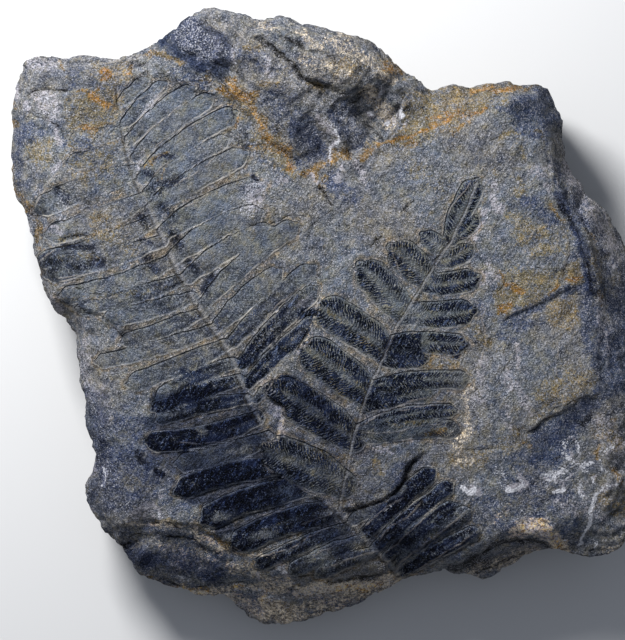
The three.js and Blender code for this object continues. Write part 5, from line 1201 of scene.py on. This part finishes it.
# The stone's own mottling goes from patches a few centimetres wide down to specks of mica. Broken stone also
# shows the edges of its beds and splinters, and the walls are stained in seams along the beds.
drift = grain(22, 3, 0.5)
mottle = grain(6, 4, 0.55, 11)
hue = grain(3.2, 4, 0.62, 13)
fleck = grain(1.3, 4, 0.72, 17)
speck = grain(0.42, 2, 0.6, 23)
fibre = grain(1.1, 4, 0.7, 15, drawn_along["fabric"])
beds = grain(1.0, 4, 0.7, 19, drawn_along["beds"])
seams = grain(2.2, 4, 0.65, 29, drawn_along["beds"])
streaks = grain(1.3, 4, 0.65, 27, drawn_along["splinters"])
wall = fade(mark["under_rim"], 0.5, 6)
stone = coat(linear("#72787f"), linear("#7c7b79"), fade(drift, 0.38, 0.62))
for pattern, start, end, most, tone, where, how in [
    (mottle, 0.54, 0.36, 0.5, "#474d5b", 1, "MIX"),
    (mottle, 0.54, 0.7, 0.35, "#99968f", 1, "MIX"),
    (fibre, 0.5, 0.72, 0.6, "#8f8570", 1, "MIX"),
    (fibre, 0.48, 0.3, 0.6, "#3d424c", 1, "MIX"),
    (hue, 0.5, 0.64, 0.55, "#d4c6a2", 1, "OVERLAY"),
    (hue, 0.5, 0.36, 0.5, "#a6b2cc", 1, "OVERLAY"),
    (streaks, 0.5, 0.34, 0.55, "#333a47", mark["broken"], "MIX"),
    (streaks, 0.52, 0.68, 0.5, "#a19b92", mark["broken"], "MIX"),
    (beds, 0.5, 0.32, 0.7, "#2f3541", mark["broken"], "MIX"),
    (beds, 0.52, 0.7, 0.65, "#a39b8e", mark["broken"], "MIX"),
    (seams, 0.53, 0.64, 0.8, "#d3bd90", wall, "OVERLAY"),
    (seams, 0.47, 0.38, 0.8, "#7a88a8", wall, "OVERLAY"),
    (grain(9, 5, 0.7, 39), 0.56, 0.64, 0.8, "#f3cb88", wall, "OVERLAY"),
]:
    stone = coat(stone, linear(tone), fade(pattern, start, end, 0, most, where), how=how)


def patch(name, seed, size, uneven):
    """A stain's or painted shade's mark with an uneven edge, mottled coarse and fine."""
    coarse = swing(uneven, size, 4, 0.6, seed)
    fine = swing(1.8 * uneven, 0.9, 4, 0.75, seed + 5)
    mottled = add("Math", {0: mark[name], 1: add("Math", {0: coarse, 1: fine})})
    return fade(mottled, 0.2, 0.8, where=fade(mark[name], 0, 0.3))


# Stains laid by overlay, and the dark blue that is partly painted shade, take their brightness from the
# stone under them.
tan_rock = coat(linear("#665b4e"), linear("#fbead0"), fade(grain(1.3, 4, 0.75, 37), 0.38, 0.58))
rusted = coat(linear("#bc9a60"), linear("#f3cb88"), fade(grain(1.6, 4, 0.7, 57), 0.4, 0.65))
# Pale is partly a painted highlight, and the hollow shade is brown-black painted shade in cracks and hollows.
for name, seed, size, uneven, tone, most, how in [
    ("ochre", 31, 3.5, 2.0, linear("#d3bd90"), 1, "OVERLAY"),
    ("tan", 35, 1.3, 2.0, tan_rock, 0.92, "MIX"),
    ("blue", 41, 3, 2.0, linear("#7a88a8"), 0.9, "OVERLAY"),
    ("rust", 51, 2, 1.6, rusted, 1, "OVERLAY"),
    ("pale", 61, 1.4, 2.2, linear("#b9b4bb"), 0.75, "MIX"),
    ("hollow_shade", 55, 2, 1.5, linear("#1a1914"), 0.85, "MIX"),
]:
    stone = coat(stone, tone, patch(name, seed, size, uneven), most, how)

# Flecks and specks are fainter on the leaflets' smooth plates, which are a shade cooler and darker. Ochre has
# crept in between them.
plate = add("Math", {0: fade(mark["margin"], 0.3, -0.4), 1: mark["lines"]}, operation="MULTIPLY",
            use_clamp=True)
calm = fade(plate, 0, 1, 1, 0.62)
for pattern, start, end, most, tone in [
    (fleck, 0.48, 0.32, 0.66, "#262e3d"),
    (fleck, 0.54, 0.68, 0.6, "#aaa9ae"),
    (speck, 0.48, 0.3, 0.7, "#171c28"),
    (speck, 0.54, 0.68, 0.65, "#bdbbc3"),
]:
    stone = coat(stone, linear(tone), fade(pattern, start, end, 0, most, calm))
between = fade(mark["margin"], 2.4, 0.6, where=fade(mark["margin"], 0, 0.5))
between = fade(grain(3.5, 4, 0.65, 33), 0.42, 0.56, where=between)
stone = coat(stone, linear("#c4a97c"), between, 0.5, "OVERLAY")
stone = coat(stone, coat(linear("#dbe1ea"), linear("#dcded8"), mark["veins"]), plate, 0.9, "MULTIPLY")

# The film is densest between the side veins, which stand a little wider apart than the real ones so that they
# show, and it flakes away in bits of a millimetre or less.
VEIN_SPACING = 0.95  # mm
wave = add("Math", {0: mark["vein_run"], 1: 1 / VEIN_SPACING, 2: swing(3, 3, 2, 0.5, 65)},
           operation="MULTIPLY_ADD")
wave = add("Math", {0: add("Math", {0: wave, 1: 2 * np.pi}, operation="MULTIPLY")}, operation="SINE")
vein = fade(grain(1.4, 2, 0.6, 67), 0.3, 0.55, where=fade(wave, 0, 0.8, where=mark["veins"]))
flakes = add("Math", {0: grain(4.5, 5, 0.7, 71), 1: 0.5}, operation="SUBTRACT")
flakes = add("Math", {0: flakes, 1: fade(mark["veins"], 0, 1, 2.6, 1.5), 2: swing(1.8, 0.7, 3, 0.7, 73)},
             operation="MULTIPLY_ADD")
film_left = add("Math", {0: add("Math", {0: vein, 1: -0.78, 2: mark["film"]}, operation="MULTIPLY_ADD"),
                         1: flakes})
film_amount = fade(film_left, 0.08, 0.5, where=fade(mark["film"], 0.1, 0.75, 0.42, 1))
carbon = coat(linear("#02050c"), linear("#0b1329"), fade(fleck, 0.42, 0.62))
carbon = coat(carbon, linear("#2e3850"), fade(mottle, 0.52, 0.62), 0.55)
carbon = coat(carbon, linear("#4c5a78"), fade(fibre, 0.54, 0.66), 0.65)
carbon = coat(carbon, linear("#8c95a8"), fade(speck, 0.56, 0.68, where=fade(fibre, 0.44, 0.6, 0.15, 0.9)))
colour = coat(stone, carbon, film_amount)


def thin_line(off, edge, core, strength):
    """A line along which off is 0: it starts at edge on both sides and is full at core."""
    return fade(add("Math", {0: off}, operation="ABSOLUTE"), edge, core, where=strength)


# A leaflet's margin is a thin raised line, lightened as a painted highlight, with a dark furrow of painted
# shade outside it, both fainter on the small leaf's bed. A stalk is a thin rib, worn away here and there,
# with a painted shadow along one side. A crack is darkened inside with painted shade, and a thin raised line
# is lightened with a painted highlight.
off_margin = add("Math", {0: mark["margin"], 1: swing(0.8, 2.4, 4, 0.6, 91)})
edge_line = fade(grain(5, 3, 0.6, 93), 0.44, 0.6, where=thin_line(off_margin, 0.32, 0.04, mark["lines"]))
edge_line = fade(mark["upper_bed"], 0, 1, 1, 0.7, where=edge_line)
off_furrow = add("Math", {0: off_margin, 1: 0.5}, operation="SUBTRACT")
furrow = fade(grain(4, 3, 0.6, 89), 0.42, 0.58, where=thin_line(off_furrow, 0.4, 0.08, mark["lines"]))
furrow = fade(mark["upper_bed"], 0, 1, 1, 0.12, where=furrow)
worn = fade(add("Math", {0: mark["stalk_up"], 1: swing(1, 9, 4, 0.6, 99)}), 0.35, 0.75)
rib = thin_line(mark["stalk_off"], 1.1, 0.2, worn)
beside = thin_line(add("Math", {0: mark["stalk_off"], 1: 1.6}), 0.9, 0.2, worn)
crack = thin_line(mark["crack_off"], 0.85, 0.25, mark["crack_open"])
crack = fade(grain(2.5, 4, 0.6, 97), 0.36, 0.6, where=crack)
ridge = thin_line(mark["ridge_off"], 1.2, 0.3, mark["ridge_up"])
ridge = fade(grain(3, 3, 0.6, 95), 0.3, 0.55, where=ridge)
for line, most, tone in [(furrow, 0.5, "#2b2b2c"), (edge_line, 0.6, "#c0bab1"), (rib, 0.35, "#9b9691"),
                         (beside, 0.6, "#373128"), (ridge, 0.5, "#a69e98"), (crack, 0.85, "#14130f")]:
    colour = coat(colour, linear(tone), line, most)
# Painted shade: the colour is made darker and bluer over broad stretches.
colour = coat(colour, linear("#8e99b4"), patch("painted_shade", 45, 4, 0.5), how="MULTIPLY")

# Mica glints in fine points, painted in as light specks (painted highlights), and white crystals lie in
# small heaps and lines.
for name, pattern, lift, start, end, reach, most, tone in [
    ("glints", grain(0.5, 2, 0.6, 64), 0.09, 0.58, 0.72, 0.3, 0.6, "#c9cad4"),
    ("crystals", grain(0.9, 4, 0.75, 63), 0.34, 0.66, 0.72, 0.25, 0.85, "#d6d7de"),
]:
    lifted = add("Math", {0: mark[name], 1: lift, 2: pattern}, operation="MULTIPLY_ADD")
    colour = coat(colour, linear(tone), fade(lifted, start, end, where=fade(mark[name], 0, reach)), most)

# Relief finer than the mesh: grit, low terraces and wrinkles in the bedding face, which are flatter on the
# plates, the edges of beds and splinters in broken stone, and the thin lines
TERRACES = 16  # steps from the noise's lowest to its highest
WRINKLE_SIZE = 5  # mm
level = add("Math", {0: grain(7, 6, 0.62, 87), 1: TERRACES}, operation="MULTIPLY")
riser = fade(add("Math", {0: level}, operation="FRACT"), 0.7, 1.0)
terraces = add("Math", {0: add("Math", {0: level}, operation="FLOOR"), 1: riser})
wrinkles = add("TexNoise", {"Vector": drawn_along["fabric"], "Scale": 1 / WRINKLE_SIZE, "Detail": 4,
                            "Roughness": 0.55, "Offset": 1}, noise_type="RIDGED_MULTIFRACTAL")
rugged = fade(plate, 0, 1, 1, 0.3)
relief = 0.0
for pattern, rise, where in [
    (grain(0.55, 3, 0.7, 81), 0.7, 1), (grain(2.6, 4, 0.55, 83), 0.8, 1), (fibre, 0.5, 1),
    (beds, 0.9, mark["broken"]), (streaks, 0.9, mark["broken"]), (terraces, 0.27, rugged),
    (wrinkles, 0.22, rugged), (edge_line, 0.1, 1), (rib, 0.16, 1), (vein, 0.16, 1),
    (plate, 1, fade(mark["upper_bed"], 0, 1, 0.15, 0.04)), (ridge, 0.16, 1), (crack, -0.3, 1),
]:
    rise_here = add("Math", {0: where, 1: rise}, operation="MULTIPLY")
    relief = add("Math", {0: pattern, 1: rise_here, 2: relief}, operation="MULTIPLY_ADD")
BUMP_UNIT = 0.0013  # m that a rise of 1 stands for
bump = add("Bump", {"Height": relief, "Strength": 1, "Distance": BUMP_UNIT})
shader = add("BsdfPrincipled", {
    "Base Color": colour, "Roughness": fade(speck, 0.45, 0.7, 0.7, 0.45), "IOR": 1.5,
    "Specular IOR Level": 0.06, "Normal": bump})
tree.links.new(shader, tree.nodes["Material Output"].inputs["Surface"])

slab_mesh.materials.append(slate)
fern_slab = bpy.data.objects.new("fern_slab", slab_mesh)
bpy.context.scene.collection.objects.link(fern_slab)
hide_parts("fossil_slab")
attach(fern_slab, "root")


# The floor: a plain pale sheet under the slab
FLOOR_HALF_SIDE = 3.0  # m
FLOOR_DROP = 0.0003  # m below the slab's underside
floor_shape = bmesh.new()
bmesh.ops.create_grid(floor_shape, x_segments=1, y_segments=1, size=FLOOR_HALF_SIDE)
bmesh.ops.translate(floor_shape, vec=(0, 0, -FLOOR_DROP), verts=floor_shape.verts)
floor_mesh = bpy.data.meshes.new("floor")
floor_shape.to_mesh(floor_mesh)
floor_shape.free()
paper = bpy.data.materials.new("matt_paper")
paper.use_nodes = True
paper.node_tree.nodes["Principled BSDF"].inputs["Base Color"].default_value = linear("#c9c9c9")
paper.node_tree.nodes["Principled BSDF"].inputs["Roughness"].default_value = 0.9
floor_mesh.materials.append(paper)
floor = bpy.data.objects.new("floor", floor_mesh)
bpy.context.scene.collection.objects.link(floor)


# The light: one large soft lamp low on the upper left, and an even fill
LAMP_DISTANCE = 0.6  # m
LAMP_SIDE = 0.2
LAMP_POWER = 7.3
LAMP_ELEVATION = np.radians(38)
LAMP_BEARING = np.radians(122)  # from the right-hand side round to the upper left
toward_lamp = Vector((np.cos(LAMP_BEARING) * np.cos(LAMP_ELEVATION),
                      np.sin(LAMP_BEARING) * np.cos(LAMP_ELEVATION), np.sin(LAMP_ELEVATION)))
lamp_light = bpy.data.lights.new("lamp", "AREA")
lamp_light.energy = LAMP_POWER
lamp_light.size = LAMP_SIDE
lamp = bpy.data.objects.new("lamp", lamp_light)
aim = toward_lamp.to_track_quat("Z", "Y").to_matrix().to_4x4()
lamp.matrix_world = Matrix.Translation(toward_lamp * LAMP_DISTANCE) @ aim
bpy.context.scene.collection.objects.link(lamp)

world = bpy.data.worlds.new("even_fill")
world.use_nodes = True
world.node_tree.nodes["Background"].inputs["Color"].default_value = linear("#d8e0ef")
world.node_tree.nodes["Background"].inputs["Strength"].default_value = 0.34
bpy.context.scene.world = world
bpy.context.scene.view_settings.view_transform = "Standard"


# The camera: straight above the face, with a long lens, framed as the photograph is
PICTURE = (625, 640)  # pixels
LENS = 500  # mm
SENSOR = 36  # mm, along the taller side
FACE_HEIGHT = 35  # mm, the height that is in true scale
camera_data = bpy.data.cameras.new("camera")
camera_data.lens = LENS
camera_data.sensor_width = SENSOR
camera_data.clip_end = 20
camera = bpy.data.objects.new("camera", camera_data)
middle = in_mm([(PICTURE[0] / 2, PICTURE[1] / 2)])[0]
away = PICTURE[1] * MM_PER_PIXEL * LENS / SENSOR
camera.location = Vector((*middle, FACE_HEIGHT + away)) / 1000
bpy.context.scene.collection.objects.link(camera)
bpy.context.scene.camera = camera
